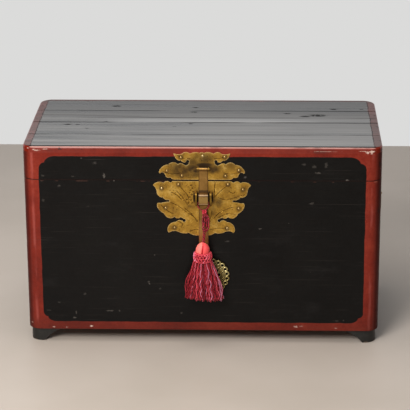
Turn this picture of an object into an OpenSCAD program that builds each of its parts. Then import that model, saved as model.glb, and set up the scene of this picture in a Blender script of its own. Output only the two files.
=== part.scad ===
/* [Chest] */
// Width of the chest over the end boards
chest_w = 880; // [700:10:1000]
// Depth of the chest over the front and back boards
chest_d = 424; // [360:4:520]
// Height of the body boards, from the feet to the seam
body_h = 396; // [340:2:460]
// Height of the lid, with its top planks
lid_h = 84; // [76:1:110]
// Height of the bracket feet
foot_h = 34; // [24:1:50]
// Radius of the upright corners
corner_r = 32; // [14:1:40]
// Radius of the edge round the top of the lid
top_edge_r = 5; // [2:0.5:8]
// Opening between the body and the closed lid
seam_gap = 0.5; // [0.3:0.1:1]

/* [Boards] */
// Thickness of the body boards and of the lid rails
board_t = 18; // [14:1:24]
// Thickness of the top planks of the lid
plank_t = 15; // [11:1:20]
// Thickness of the bottom boards
bottom_t = 14; // [10:1:20]
// Height of the body's upper planks, down from the lid
upper_plank_h = 125; // [90:1:190]
// Number of top planks, front to back
plank_count = 4; // [3:1:5]
// Number of dovetails at each corner of the body
tail_count = 6; // [4:2:8]
// Number of dovetails at each corner of the lid
lid_tail_count = 2; // [1:1:4]
// Slope of a dovetail, as the widening at each side
tail_flare = 4; // [2:0.5:6]
// Thickness of the lip strips inside the mouth
lip_t = 9; // [6:1:14]
// Height of the lip above the seam
lip_rise = 8; // [5:1:14]
// Depth of the lip strips below the seam
lip_drop = 34; // [24:1:50]
// Clearance between the lip and the lid
lip_clear = 1; // [0.6:0.1:2]

/* [Feet] */
// Length of a foot along its top
foot_l = 74; // [60:1:90]
// Length of a foot along the floor
foot_toe = 34; // [30:1:44]
// Thickness of the wood of a foot
foot_t = 20; // [16:1:24]
// Inset of a foot from the face of the boards
foot_inset = 6; // [3:1:10]
// Height of the straight band along the top of a foot
foot_band = 4; // [3:0.5:8]
// Hollow of a foot's inner edge, as its rise over half its length
foot_hollow = 0.17; // [0.05:0.01:0.4]

/* [Lock plates] */
// Thickness of the plate brass
plate_t = 1.2; // [0.8:0.1:2]
// Bare strip between each plate and the seam
plate_gap = 2; // [1.5:0.5:4]
// Radius of the pierced holes beside the leaves
leaf_hole_r = 4; // [3:0.5:4.5]
// Reach of the lower plate's right leaves below the top one, as a share of the left ones
right_reach = 0.94; // [0.9:0.01:1]
// Radius of a nail's domed head
nail_head_r = 3; // [2:0.25:4]
// Height of a nail's domed head
nail_head_h = 1.6; // [1:0.1:2]
// Radius of a nail's shank
nail_r = 1; // [0.7:0.1:1.4]
// Length of a nail's shank below the plate
nail_l = 11; // [8:0.5:13]

/* [Hasp] */
// Sideways place of the hasp, off the middle of the plates
hasp_x = 3.5; // [-5:0.5:5]
// Height of the hasp pin above the seam
pin_rise = 31; // [24:1:40]
// Radius of the hasp pin
pin_r = 2; // [1.5:0.1:2.4]
// Radius of the barrel of the hasp round its pin
barrel_r = 4.2; // [3.8:0.1:5]
// Width of the hasp strap
strap_w = 23; // [18:1:28]
// Thickness of the hasp strap
strap_t = 1.8; // [1.2:0.1:2.5]
// Opening between the strap and the plates
strap_gap = 0.5; // [0.4:0.1:1]
// Distance from the pin down to the top of the raised eye
eye_top_drop = 64; // [56:1:72]
// Height of the raised eye
eye_h = 26.5; // [22:0.5:30]
// Distance that the raised eye stands out of the strap
eye_out = 12; // [10:0.5:14]
// Distance from the pin down to the rivet of the tail
rivet_drop = 244; // [220:1:260]
// Radius of the rivet that carries the rosette
rivet_r = 3; // [2:0.25:3.5]
// Thickness of a lock eye
staple_t = 4.5; // [3:0.25:6]
// Sideways place of each lock eye, off the middle of the hasp
staple_x = 18; // [17.5:0.25:24]
// Height of a lock eye
staple_h = 33; // [28:0.5:38]
// Distance that a lock eye stands out of its plate
staple_out = 13.2; // [11:0.2:16]
// Width of the metal of a lock eye
staple_bar = 4; // [3:0.25:5]

/* [Rosette] */
// Radius from the middle of the rosette to its rim loops
rim_r = 39.5; // [34:0.5:44]
// Number of rim loops
loop_count = 20; // [16:1:24]
// Radius of the metal of a rim loop, outside
loop_r = 6.6; // [6:0.1:7.4]
// Thickness of the rosette
rosette_t = 2.2; // [1.6:0.1:3]
// Turn of the hanging rosette off the upright, as it was left
rosette_turn = 27; // [0:1:40]

/* [End handles] */
// Height of the handle posts above the floor
handle_z = 345; // [280:1:380]
// Distance between the two posts of a handle
handle_span = 96; // [80:1:120]
// Length of the bail below its posts
bail_drop = 46; // [38:1:60]
// Radius of the bail's round bar
bail_r = 3; // [2.5:0.1:3.2]
// Radius of the bail's pins in their posts
bail_pin_r = 2; // [1.5:0.1:2.2]
// Radius of a post's eye
post_r = 4.5; // [4:0.1:5]
// Radius of the round washer under a post
washer_r = 15; // [10:0.5:20]
// Radius of the bends of a bail, at the middle of its bar
bail_bend = 14; // [10:1:18]

/* [Rear hinges] */
// Distance from the middle of each rear hinge to the end of the chest
hinge_inset = 160; // [110:5:200]
// Width of a rear hinge
hinge_w = 60; // [50:1:80]
// Height of each leaf of a rear hinge
leaf_h = 44; // [36:1:56]
// Radius of a hinge barrel
hinge_r = 5; // [4:0.25:6]
// Radius of a hinge pin
hinge_pin_r = 2.2; // [1.6:0.1:2.6]
// Opening between a barrel and its leaves
hinge_gap = 0.4; // [0.3:0.1:0.8]

/* [Tassel] */
// Diameter of the cord
cord_d = 3; // [2:0.25:3.2]
// Height of the tassel's head above its collar
head_h = 24.5; // [22:0.5:30]
// Height of the tassel's collar
collar_h = 25; // [18:1:30]
// Radius of the tassel's head
head_r = 17.3; // [15:0.1:18]
// Radius of the tassel's collar
collar_r = 22.5; // [20:0.5:24]
// Half the width of the skirt at its foot
skirt_half_w = 48.5; // [40:0.5:52]
// Distance that the foot of the skirt leans to the right of its top
skirt_lean = 3.5; // [0:0.5:6]
// Half the depth of the skirt at its foot
skirt_half_d = 17; // [14:0.5:18]
// Length of the skirt
skirt_l = 103; // [80:1:110]
// Number of folds round the skirt
skirt_folds = 16; // [12:1:20]

/* [Hidden] */

// Colours
red = [0.50, 0.19, 0.14];
black = [0.13, 0.12, 0.12];
grey = [0.35, 0.35, 0.36];
brass = [0.70, 0.55, 0.25];
crimson = [0.68, 0.10, 0.20];
coral = [0.92, 0.45, 0.42];

// Smooth rounds
fine = 64;
// Clearance of a pin or shank in its hole
pin_clear = 0.1;
// Opening between loose pieces side by side
play = 0.3;
// Radius of the shanks of the lock eyes and of the handle posts in their boards
shank_r = 1.6;
// Overlap that lets a cut pass through a face
past = 1;

// Places that follow from the sizes above
front_reach = plate_t + max(staple_out, strap_gap + eye_out);
rear_reach = hinge_gap + 2 * hinge_r;
mid_y = (front_reach - rear_reach) / 2;
front_y = mid_y - chest_d / 2;
back_y = mid_y + chest_d / 2;
side_x = chest_w / 2;
seam_z = foot_h + body_h;
lid_z = seam_z + seam_gap;
top_z = seam_z + lid_h;
rail_top = top_z - plank_t;
split_z = seam_z - upper_plank_h;
plate_y = front_y - plate_t;
strap_back_y = plate_y - strap_gap;
strap_front_y = strap_back_y - strap_t;
eye_front_y = strap_back_y - eye_out;
pin_z = seam_z + pin_rise;
pin_y = plate_y - barrel_r - play;
eye_top_z = pin_z - eye_top_drop;
eye_low_z = eye_top_z - eye_h;
rivet_z = pin_z - rivet_drop;
rosette_back_y = strap_front_y - play;
rosette_front_y = rosette_back_y - rosette_t;
ring_rise = 1;
rivet_head_y = rosette_front_y - play;
ear_t = 1.8;
ear_x = strap_w / 2 + play + ear_t / 2;
eye_mid_z = eye_top_z - eye_h / 2;
hinge_z = seam_z + seam_gap / 2;
washer_t = 1.2;
stem_r = 2.6;
post_t = 6;
leg_y = handle_span / 2 + post_t / 2 + 0.4 + bail_r;
post_x = side_x + washer_t + 0.1 + post_r;
hinge_x = side_x - hinge_inset;
hinge_y = back_y + hinge_gap + hinge_r;

// Route of the cord from the middle of the raised eye, round its right side, down to the tassel's head
cord_route = [[3.5, -217, 378.5], [7, -217, 378.5], [10.5, -217, 378.5], [14, -217, 377.5],
    [16.1, -217, 375], [16.9, -217, 371.5], [16.9, -217.5, 367], [15, -218.5, 362], [10, -219.5, 358],
    [5, -220, 354], [3, -220.5, 348], [3, -221.5, 340], [3.5, -222.5, 328], [4, -223.5, 316],
    [4, -225.5, 306], [4, -228, 301], [4, -231.5, 296], [3.6, -234.8, 291], [3, -237.5, 286.5],
    [2.4, -239.3, 282.5], [2, -240, 279.5]];
// Route of its other half, round the left side of the eye, through the knot and twice round a long loop
loop_route = [[3.5, -217, 378.5], [0, -217, 378.5], [-3.5, -217, 378.5], [-7, -217, 377.5],
    [-9.1, -217, 375], [-9.9, -217, 371.5], [-9.9, -217.5, 367], [-8, -219, 362], [-2, -221.5, 358],
    [4, -224, 354.5], [10, -225.5, 349.5], [13.5, -226.5, 342], [14.5, -227.5, 330], [14.5, -228.5, 318],
    [15, -229, 311], [13.1, -229.2, 306.4], [8.5, -229.3, 304.5], [3.9, -229.4, 306.4], [2, -229.6, 311],
    [2, -230.5, 325], [2, -231.5, 338.5], [4.2, -231.9, 343.8], [9.5, -232.2, 346], [14.8, -232.4, 343.8],
    [17, -232.5, 338.5], [17, -232.8, 327], [17, -233, 316.5], [15.1, -233.2, 311.9], [10.5, -233.5, 310],
    [5.9, -233.8, 311.9], [4, -233.9, 316.5], [5, -233.5, 323], [7, -231.5, 330], [7.5, -229, 337],
    [7, -227.5, 343], [6.5, -226.5, 347]];
knot_at = [6, -223.5, 352.5];
knot_r = 6.5;
tassel_at = cord_route[len(cord_route) - 1];
collar_top = tassel_at[2] - head_h;
skirt_top = collar_top - collar_h;

// A rounded rectangle, centred on the chest
module footprint(grow, r) {
    w = chest_w / 2 + grow - r;
    d = chest_d / 2 + grow - r;
    union() {
        translate([-w, mid_y - d - r]) square([2 * w, 2 * d + 2 * r]);
        translate([-w - r, mid_y - d]) square([2 * w + 2 * r, 2 * d]);
        for (sx = [-1, 1])
            for (sy = [-1, 1])
                translate([sx * w, mid_y + sy * d]) circle(r = r, $fn = fine);
    }
}

// A box between two corners
module span(low, high) {
    translate(low) cube(high - low);
}

// The dovetails of one corner, which the front or back board carries
module corner_tails(side, y_low, z_low, z_high, count) {
    pitch = (z_high - z_low) / count;
    x_root = side_x - board_t;
    for (i = [0:count - 1]) {
        z_mid = z_low + (i + 0.5) * pitch;
        narrow = pitch / 4;
        wide = narrow + tail_flare;
        outline = [[side * x_root, z_mid - narrow], [side * (side_x + past), z_mid - wide],
            [side * (side_x + past), z_mid + wide], [side * x_root, z_mid + narrow]];
        translate([0, y_low + board_t, 0]) rotate([90, 0, 0])
            linear_extrude(board_t) polygon(outline);
    }
}

// All the tails of the body or of the lid, at one end of the chest
module end_tails(side, z_low, z_high, count) {
    corner_tails(side, front_y, z_low, z_high, count);
    corner_tails(side, back_y - board_t, z_low, z_high, count);
}

// A full height front or back wall with its tails, still square at the corners
module long_wall(y_low, z_low, z_high, count) {
    union() {
        span([board_t - side_x, y_low, z_low], [side_x - board_t, y_low + board_t, z_high]);
        corner_tails(-1, y_low, z_low, z_high, count);
        corner_tails(1, y_low, z_low, z_high, count);
    }
}

// A full height end wall, cut for the tails
module end_wall(side, z_low, z_high, count) {
    x_in = side > 0 ? side_x - board_t : -side_x;
    difference() {
        span([x_in, front_y, z_low], [x_in + board_t, back_y, z_high]);
        end_tails(side, z_low, z_high, count);
    }
}

// The part of its children inside the rounded corners and between two heights
module between(z_low, z_high) {
    intersection() {
        children();
        translate([0, 0, z_low]) linear_extrude(z_high - z_low) footprint(0, corner_r);
    }
}

// Outlines are lists of [x, y, bulge]: the bulge of the edge to the next point is its rise over half its chord
function edge_points(p, q, bulge) =
    let (dx = q[0] - p[0], dy = q[1] - p[1], half = sqrt(dx * dx + dy * dy) / 2)
    bulge == 0 ? [[p[0], p[1]]] :
    let (rise = bulge * half, r = (half * half + rise * rise) / (2 * rise), sweep = 4 * atan(bulge))
    let (ux = dx / (2 * half), uy = dy / (2 * half), count = max(3, ceil(abs(sweep * r) / 110)))
    let (cx = (p[0] + q[0]) / 2 - uy * (rise - r), cy = (p[1] + q[1]) / 2 + ux * (rise - r))
    [for (i = [0:count - 1])
        let (t = sweep * (i / count - 0.5))
        [cx + r * (sin(t) * ux - cos(t) * uy), cy + r * (sin(t) * uy + cos(t) * ux)]];

function half_outline(points) =
    [for (i = [0:len(points) - 2]) each edge_points(points[i], points[i + 1], points[i][2])];

// A point of the right side drawn in to its reach, from 42 below the seam down
function drawn_in(p, reach) = [p[0] * (1 - (1 - reach) * min(1, max(0, (-p[1] - 42) / 10))), p[1]];

// A closed outline from its left half, which is mirrored and drawn in for the right side
function whole_outline(points, reach) =
    let (last = points[len(points) - 1], half = concat(half_outline(points), [[last[0], last[1]]]))
    concat([for (p = half) drawn_in(p, reach)],
        [for (i = [len(half) - 1:-1:0]) if (half[i][0] > 0.01) [-half[i][0], half[i][1]]]);

// Half of the upper plate, measured from its middle and up from the seam
upper_leaf = [[0, 72.3, 0.1], [5, 70.3, 0.25], [29, 68.3, 0.45], [48, 68.3, -0.2], [69, 69.5, 0.1],
    [64, 57, 0.2], [54, 50.5, -0.4], [50.5, 50.5, 0.25], [42, 45.8, -0.1], [38.4, 47, 0], [34.5, 48.5, 0],
    [31.5, 43, -0.15], [38.7, 37.8, 0.1], [44, 40.5, 0.45], [58.4, 40.8, 0.5], [81.6, 39.9, 0.25],
    [99.5, 31.6, 0.2], [105, 19.5, 0.2], [102, 17.8, -0.4], [94, 19.8, -0.15], [88, 9, 0.25],
    [77, 7.2, 0.3], [65, plate_gap, 0]];
// Middle of the pierced hole beside the upper leaf
upper_hole = [34.5, 48.3];
// Nails of the upper plate
upper_nails = [[-51, 58.8], [-85.4, 24.4], [-49, 11.9], [2.2, 62.6], [55.7, 60.2], [90.6, 26.2], [57.7, 11.7]];

// Half of the lower plate, measured from its middle and down from the seam
lower_leaf = [[72, -plate_gap, -0.2], [78, -5.5, 0.5], [94, -6.7, 0.35], [120, -12, 0.1], [114.7, -18, -0.1],
    [111, -32, 0.2], [104, -42.6, 0.25], [96.2, -43.7, 0.4], [82.3, -50.6, -0.5], [80.4, -55.6, 0.05],
    [101, -58.8, 0.1], [109, -59, 0.3], [109.4, -70.8, 0.2], [94, -85.6, 0.15], [86.6, -95.4, 0.35],
    [67.7, -94.5, 0.5], [52.7, -95.3, 0.2], [46, -98.5, 0], [45.4, -103, 0], [49.6, -104.6, -0.1],
    [54.7, -103, 0.2], [65.1, -108.2, 0.2], [79.2, -113.4, 0.2], [85.6, -126.6, 0.2], [83.5, -134.8, 0.3],
    [81.5, -135.6, -0.25], [60.7, -133, 0.2], [33.4, -136.4, 0.25], [0, -140.7, 0]];
// Middle of the pierced hole beside the lower leaf
lower_hole = [44.6, -104];
// Nails of the lower plate
lower_nails = [[-57.5, -11], [-99, -21], [-89.5, -72], [-68, -123], [64, -10.2], [100.5, -23.3], [90, -72.5],
    [61.4, -124]];

// Children turned from a drawing of x and height to a plate that faces the front
module facing_front(y_back, thick) {
    translate([0, y_back, 0]) rotate([90, 0, 0]) linear_extrude(thick) children();
}

// A nail that points to the back, with its head on a face at the given height
module front_nail(x, y_face, z, clear) {
    translate([x, y_face, z]) rotate([90, 0, 0]) nail(clear);
}

// A nail along Z with its head up, or with a clearance the hole that it needs
module nail(clear) {
    above = clear > 0 ? past : 0;
    translate([0, 0, -nail_l - clear]) cylinder(r = nail_r + clear, h = nail_l + clear + above, $fn = fine);
    if (clear == 0) nail_head();
}

module nail_head() {
    dome_r = (nail_head_r * nail_head_r + nail_head_h * nail_head_h) / (2 * nail_head_h);
    intersection() {
        translate([0, 0, nail_head_h - dome_r]) sphere(r = dome_r, $fn = fine);
        cylinder(r = nail_head_r + past, h = nail_head_h + past, $fn = fine);
    }
}

module front_nail_set(places, clear) {
    for (n = places)
        front_nail(n[0], plate_y, seam_z + n[1], clear);
}

// Shanks of the two lock eyes, or their holes
module eye_shanks(side, clear) {
    x = hasp_x + side * staple_x;
    for (end = [-1, 1])
        translate([x, plate_y - past, eye_mid_z + end * (staple_h - staple_bar) / 2])
            rotate([-90, 0, 0]) cylinder(r = shank_r + clear, h = board_t - 2 + clear, $fn = fine);
}

// Shank of a hasp ear, or its hole
module ear_shank(side, clear) {
    x = hasp_x + side * ear_x;
    translate([x, plate_y - past, pin_z]) rotate([-90, 0, 0])
        cylinder(r = 0.8 + clear, h = past + nail_l + clear, $fn = fine);
}

module lower_holes() {
    front_nail_set(lower_nails, pin_clear);
    for (side = [-1, 1])
        eye_shanks(side, pin_clear);
}

module upper_holes() {
    front_nail_set(upper_nails, pin_clear);
    for (side = [-1, 1])
        ear_shank(side, pin_clear);
}

// Body boards
module front_wall() {
    difference() {
        between(foot_h, seam_z) long_wall(front_y, foot_h, seam_z, tail_count);
        lower_holes();
    }
}

module back_wall() {
    difference() {
        between(foot_h, seam_z) long_wall(back_y - board_t, foot_h, seam_z, tail_count);
        hinge_nail_set(-1, pin_clear);
    }
}

module side_wall(side) {
    difference() {
        between(foot_h, seam_z) end_wall(side, foot_h, seam_z, tail_count);
        handle_stem_set(side, pin_clear);
    }
}

module upper_part() {
    intersection() {
        children();
        span([-side_x - past, front_y - past, split_z], [side_x + past, back_y + past, seam_z + past]);
    }
}

module lower_part() {
    intersection() {
        children();
        span([-side_x - past, front_y - past, foot_h - past], [side_x + past, back_y + past, split_z]);
    }
}

module front_board_upper() { color(black) upper_part() front_wall(); }
module front_board_lower() { color(black) lower_part() front_wall(); }
module back_board_upper() { color(red) upper_part() back_wall(); }
module back_board_lower() { color(red) lower_part() back_wall(); }
module left_board_upper() { color(red) upper_part() side_wall(-1); }
module left_board_lower() { color(red) lower_part() side_wall(-1); }
module right_board_upper() { color(red) upper_part() side_wall(1); }
module right_board_lower() { color(red) lower_part() side_wall(1); }

module bottom_board(y_low, y_high) {
    color(grey) span([board_t - side_x, y_low, foot_h], [side_x - board_t, y_high, foot_h + bottom_t]);
}

module bottom_board_front() { bottom_board(front_y + board_t, mid_y); }
module bottom_board_back() { bottom_board(mid_y, back_y - board_t); }

// Lip strips, set on the boards below the seam and clear of the lid above it
module lip(low, high, away) {
    union() {
        span([low[0], low[1], seam_z - lip_drop], [high[0], high[1], seam_z]);
        span([low[0] + away[0], low[1] + away[1], seam_z - past],
            [high[0] + away[2], high[1] + away[3], seam_z + lip_rise]);
    }
}

module lip_front() {
    x = side_x - board_t;
    y = front_y + board_t;
    color(grey) lip([-x, y], [x, y + lip_t], [lip_clear, lip_clear, -lip_clear, 0]);
}

module lip_side(side) {
    x = side_x - board_t;
    y_low = front_y + board_t + lip_t;
    y_high = back_y - board_t;
    color(grey) mirror([side > 0 ? 1 : 0, 0, 0])
        lip([-x, y_low], [lip_t - x, y_high], [lip_clear, 0, 0, -lip_clear]);
}

module lip_left() { lip_side(-1); }
module lip_right() { lip_side(1); }

// Bracket feet: two legs under the corner, each with a hollow curve on its inner edge
module foot_leg() {
    curve_end = [foot_l, foot_h - foot_band];
    inner_edge = edge_points([foot_toe, 0], curve_end, foot_hollow);
    polygon(concat([[0, 0]], inner_edge, [curve_end, [foot_l, foot_h], [0, foot_h]]));
}

module foot(side, end) {
    r = corner_r - foot_inset;
    color(black) translate([0, mid_y, 0]) mirror([side > 0 ? 1 : 0, 0, 0]) mirror([0, end > 0 ? 1 : 0, 0])
        translate([foot_inset - side_x, foot_inset - chest_d / 2, 0])
            intersection() {
                union() {
                    translate([0, foot_t, 0]) rotate([90, 0, 0]) linear_extrude(foot_t) foot_leg();
                    translate([foot_t, 0, 0]) mirror([1, 0, 0]) rotate([0, 0, 90]) rotate([90, 0, 0])
                        mirror([0, 0, 1]) translate([0, 0, -foot_t]) linear_extrude(foot_t) foot_leg();
                }
                union() {
                    translate([r, 0, 0]) cube([foot_l, foot_l, foot_h]);
                    translate([0, r, 0]) cube([foot_l, foot_l, foot_h]);
                    translate([r, r, 0]) cylinder(r = r, h = foot_h, $fn = fine);
                }
            }
}

module foot_front_left() { foot(-1, -1); }
module foot_front_right() { foot(1, -1); }
module foot_back_left() { foot(-1, 1); }
module foot_back_right() { foot(1, 1); }

// Lock plates
module foliate_plate(leaf, hole, reach) {
    facing_front(front_y, plate_t) translate([0, seam_z]) difference() {
        polygon(whole_outline(leaf, reach));
        translate(drawn_in(hole, reach)) circle(r = leaf_hole_r, $fn = fine);
        translate([-hole[0], hole[1]]) circle(r = leaf_hole_r, $fn = fine);
    }
}

module lower_lock_plate() {
    color(brass) difference() {
        foliate_plate(concat([[0, -plate_gap, 0]], lower_leaf), lower_hole, right_reach);
        lower_holes();
    }
}

module upper_lock_plate() {
    color(brass) difference() {
        foliate_plate(concat(upper_leaf, [[0, plate_gap, 0]]), upper_hole, 1);
        upper_holes();
    }
}

module lower_plate_nails() { color(brass) front_nail_set(lower_nails, 0); }
module upper_plate_nails() { color(brass) front_nail_set(upper_nails, 0); }

// A square with round corners, between two corners
module round_square(low, high, r) {
    union() {
        translate([low[0] + r, low[1]]) square([high[0] - low[0] - 2 * r, high[1] - low[1]]);
        translate([low[0], low[1] + r]) square([high[0] - low[0], high[1] - low[1] - 2 * r]);
        for (x = [low[0] + r, high[0] - r])
            for (y = [low[1] + r, high[1] - r])
                translate([x, y]) circle(r = r, $fn = fine);
    }
}

// Children drawn in depth and height, given a width along X
module across(x_low, width) {
    translate([x_low, 0, 0]) rotate([90, 0, 90]) linear_extrude(width) children();
}

// Lock eyes: a bow that stands on the plate, with two shanks through the board
module lock_eye(side) {
    half = staple_h / 2;
    color(brass) union() {
        across(hasp_x + side * staple_x - staple_t / 2, staple_t) intersection() {
            difference() {
                round_square([plate_y - staple_out, eye_mid_z - half],
                    [plate_y + staple_out, eye_mid_z + half], 6);
                round_square([plate_y - staple_out + staple_bar, eye_mid_z - half + staple_bar],
                    [plate_y + staple_out, eye_mid_z + half - staple_bar], 3);
            }
            translate([plate_y - 2 * staple_out, eye_mid_z - staple_h])
                square([2 * staple_out, 2 * staple_h]);
        }
        eye_shanks(side, 0);
    }
}

module lock_eye_left() { lock_eye(-1); }
module lock_eye_right() { lock_eye(1); }

// Hasp pin and the ears that hold it
module hasp_ear(side) {
    color(brass) union() {
        difference() {
            across(hasp_x + side * ear_x - ear_t / 2, ear_t) union() {
                translate([pin_y, pin_z]) circle(r = barrel_r - 0.4, $fn = fine);
                translate([pin_y, pin_z - 3]) square([plate_y - pin_y, 6]);
            }
            translate([hasp_x + side * ear_x - ear_t, pin_y, pin_z]) rotate([0, 90, 0])
                cylinder(r = pin_r + pin_clear, h = 2 * ear_t, $fn = fine);
        }
        ear_shank(side, 0);
    }
}

module hasp_ear_left() { hasp_ear(-1); }
module hasp_ear_right() { hasp_ear(1); }

// A pin along X with a ball at each end
module ball_pin(at, half, r, ball_r) {
    translate(at) union() {
        translate([-half, 0, 0]) rotate([0, 90, 0]) cylinder(r = r, h = 2 * half, $fn = fine);
        for (side = [-1, 1])
            translate([side * half, 0, 0]) sphere(r = ball_r, $fn = fine);
    }
}

module hasp_pin() {
    ball_r = pin_r + 0.4;
    color(brass) ball_pin([hasp_x, pin_y, pin_z], ear_x + ear_t / 2 + 0.2 + ball_r, pin_r, ball_r);
}

// Hasp: barrel, strap, raised eye and tail in one strip
module hasp_strip() {
    difference() {
        union() {
            translate([pin_y, pin_z]) circle(r = barrel_r, $fn = fine);
            translate([strap_front_y, eye_top_z - strap_t]) square([strap_t, pin_z - eye_top_z + strap_t]);
            translate([strap_front_y, rivet_z - strap_w])
                square([strap_t, eye_low_z + strap_t - rivet_z + strap_w]);
            intersection() {
                round_square([eye_front_y, eye_low_z], [strap_back_y + eye_out, eye_top_z], 3);
                translate([eye_front_y - past, eye_low_z])
                    square([strap_back_y - eye_front_y + past, eye_h]);
            }
        }
        translate([pin_y, pin_z]) circle(r = pin_r + pin_clear, $fn = fine);
        round_square([eye_front_y + strap_t, eye_low_z + strap_t],
            [strap_back_y + eye_out, eye_top_z - strap_t], 1.2);
    }
}

module hasp_tail_outline() {
    union() {
        translate([hasp_x, rivet_z]) circle(r = strap_w / 2, $fn = fine);
        translate([hasp_x - strap_w / 2, rivet_z]) square([strap_w, pin_z + strap_w - rivet_z]);
    }
}

module hasp() {
    color(brass) difference() {
        intersection() {
            across(hasp_x - strap_w / 2, strap_w) hasp_strip();
            facing_front(plate_y, 2 * eye_out) hasp_tail_outline();
        }
        rivet_bar(strap_back_y + past, strap_front_y - past, rivet_r + pin_clear);
    }
}

// A round bar at the rivet, between two depths
module rivet_bar(y_back, y_front, r) {
    translate([hasp_x, y_back, rivet_z]) rotate([90, 0, 0]) cylinder(r = r, h = y_back - y_front, $fn = fine);
}

module rosette_rivet() {
    head_r = rivet_r + 2.2;
    head_t = 2;
    color(brass) union() {
        rivet_bar(strap_back_y, rivet_head_y - 0.5, rivet_r);
        translate([hasp_x, rivet_head_y, rivet_z]) rotate([90, 0, 0]) intersection() {
            translate([0, 0, head_t - head_r * 1.7]) sphere(r = head_r * 1.7, $fn = fine);
            cylinder(r = head_r, h = head_t, $fn = fine);
        }
    }
}

// Rosette: a rim of loops round a pierced disc, hung by its top loop
module ring_of(count, r) {
    for (i = [0:count - 1])
        rotate(i * 360 / count) translate([0, r]) children();
}

module rosette_sheet() {
    difference() {
        union() {
            circle(r = rim_r - loop_r * 0.72, $fn = fine);
            ring_of(loop_count, rim_r) circle(r = loop_r, $fn = fine);
        }
        ring_of(loop_count, rim_r) circle(r = rivet_r + play, $fn = fine);
        rotate(180 / loop_count) ring_of(loop_count, rim_r * 0.77)
            circle(r = rim_r * 0.045, $fn = fine);
        ring_of(loop_count / 2, rim_r * 0.5) circle(r = rim_r * 0.105, $fn = fine);
        rotate(360 / loop_count) ring_of(loop_count / 2, rim_r * 0.33) circle(r = rim_r * 0.05, $fn = fine);
    }
}

module rosette() {
    color(brass) translate([hasp_x, rosette_back_y, rivet_z]) rotate([90, 0, 0]) rotate(rosette_turn)
        translate([0, -rim_r, 0]) union() {
            linear_extrude(rosette_t) rosette_sheet();
            translate([0, 0, rosette_t - 0.5]) linear_extrude(ring_rise + 0.5) difference() {
                circle(r = rim_r * 0.7, $fn = fine);
                circle(r = rim_r * 0.63, $fn = fine);
            }
            translate([0, 0, rosette_t - 0.5])
                cylinder(r1 = rim_r * 0.2, r2 = rim_r * 0.14, h = ring_rise + 1, $fn = fine);
        }
}

// Rear hinges: five knuckles, three on the lower leaf and two on the upper
module hinge_knuckles(first) {
    pitch = hinge_w / 5;
    for (i = [first:2:4])
        translate([(i - 2.5) * pitch + play / 2, 0, 0]) children();
}

module hinge_leaf(side, up) {
    knuckle_l = hinge_w / 5 - play;
    edge = hinge_r - 1.5;
    leaf_low = up > 0 ? hinge_z + edge : hinge_z - edge - leaf_h;
    color(brass) translate([side * hinge_x, 0, 0]) difference() {
        union() {
            span([-hinge_w / 2, back_y, leaf_low], [hinge_w / 2, back_y + plate_t, leaf_low + leaf_h]);
            hinge_knuckles(up > 0 ? 1 : 0) union() {
                translate([0, hinge_y, hinge_z]) rotate([0, 90, 0])
                    cylinder(r = hinge_r, h = knuckle_l, $fn = fine);
                translate([0, back_y, up > 0 ? hinge_z + edge : hinge_z - hinge_r])
                    cube([knuckle_l, hinge_gap + hinge_r, hinge_r - edge]);
            }
        }
        translate([-hinge_w, hinge_y, hinge_z]) rotate([0, 90, 0])
            cylinder(r = hinge_pin_r + pin_clear, h = 2 * hinge_w, $fn = fine);
        leaf_nails(up, pin_clear);
    }
}

// Nails of one leaf, about the middle of the hinge
module leaf_nails(up, clear) {
    mid_z = hinge_z + up * (hinge_r - 1.5 + leaf_h / 2);
    for (x = [-0.33, 0.33])
        for (z = [-0.25, 0.25])
            translate([x * hinge_w, back_y + plate_t, mid_z + z * leaf_h]) rotate([-90, 0, 0]) nail(clear);
}

module hinge_nail_set(up, clear) {
    for (side = [-1, 1])
        translate([side * hinge_x, 0, 0]) leaf_nails(up, clear);
}

module hinge_left_lower_leaf() { hinge_leaf(-1, -1); }
module hinge_right_lower_leaf() { hinge_leaf(1, -1); }
module hinge_left_upper_leaf() { hinge_leaf(-1, 1); }
module hinge_right_upper_leaf() { hinge_leaf(1, 1); }
module hinge_nails_lower() { color(brass) hinge_nail_set(-1, 0); }
module hinge_nails_upper() { color(brass) hinge_nail_set(1, 0); }

module rear_pin(side) {
    ball_r = hinge_pin_r + 0.7;
    half = hinge_w / 2 + ball_r + play;
    color(brass) ball_pin([side * hinge_x, hinge_y, hinge_z], half, hinge_pin_r, ball_r);
}

module hinge_left_pin() { rear_pin(-1); }
module hinge_right_pin() { rear_pin(1); }

// End handles, drawn for the right end and mirrored for the left
module at_posts(side) {
    mirror([side > 0 ? 0 : 1, 0, 0])
        for (end = [-1, 1])
            translate([0, mid_y + end * handle_span / 2, handle_z]) children();
}

module handle_stem_set(side, clear) {
    at_posts(side) translate([side_x - board_t + 2 - clear, 0, 0]) rotate([0, 90, 0])
        cylinder(r = shank_r + clear, h = board_t + washer_t + clear, $fn = fine);
}

module handle_washers(side) {
    color(brass) at_posts(side) translate([side_x, 0, 0]) rotate([0, 90, 0]) difference() {
        cylinder(r1 = washer_r, r2 = washer_r - 0.8, h = washer_t, $fn = fine);
        translate([0, 0, -past]) cylinder(r = stem_r + pin_clear, h = washer_t + 2 * past, $fn = fine);
    }
}

module handle_posts(side) {
    color(brass) at_posts(side) union() {
        difference() {
            union() {
                translate([post_x, post_t / 2, 0]) rotate([90, 0, 0])
                    cylinder(r = post_r, h = post_t, $fn = fine);
                translate([side_x, 0, 0]) rotate([0, 90, 0])
                    cylinder(r = stem_r, h = post_x - side_x - bail_pin_r, $fn = fine);
            }
            translate([post_x, post_t, 0]) rotate([90, 0, 0])
                cylinder(r = bail_pin_r + pin_clear, h = 2 * post_t, $fn = fine);
        }
        translate([side_x - board_t + 2, 0, 0]) rotate([0, 90, 0])
            cylinder(r = shank_r, h = board_t - 1, $fn = fine);
    }
}

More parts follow.
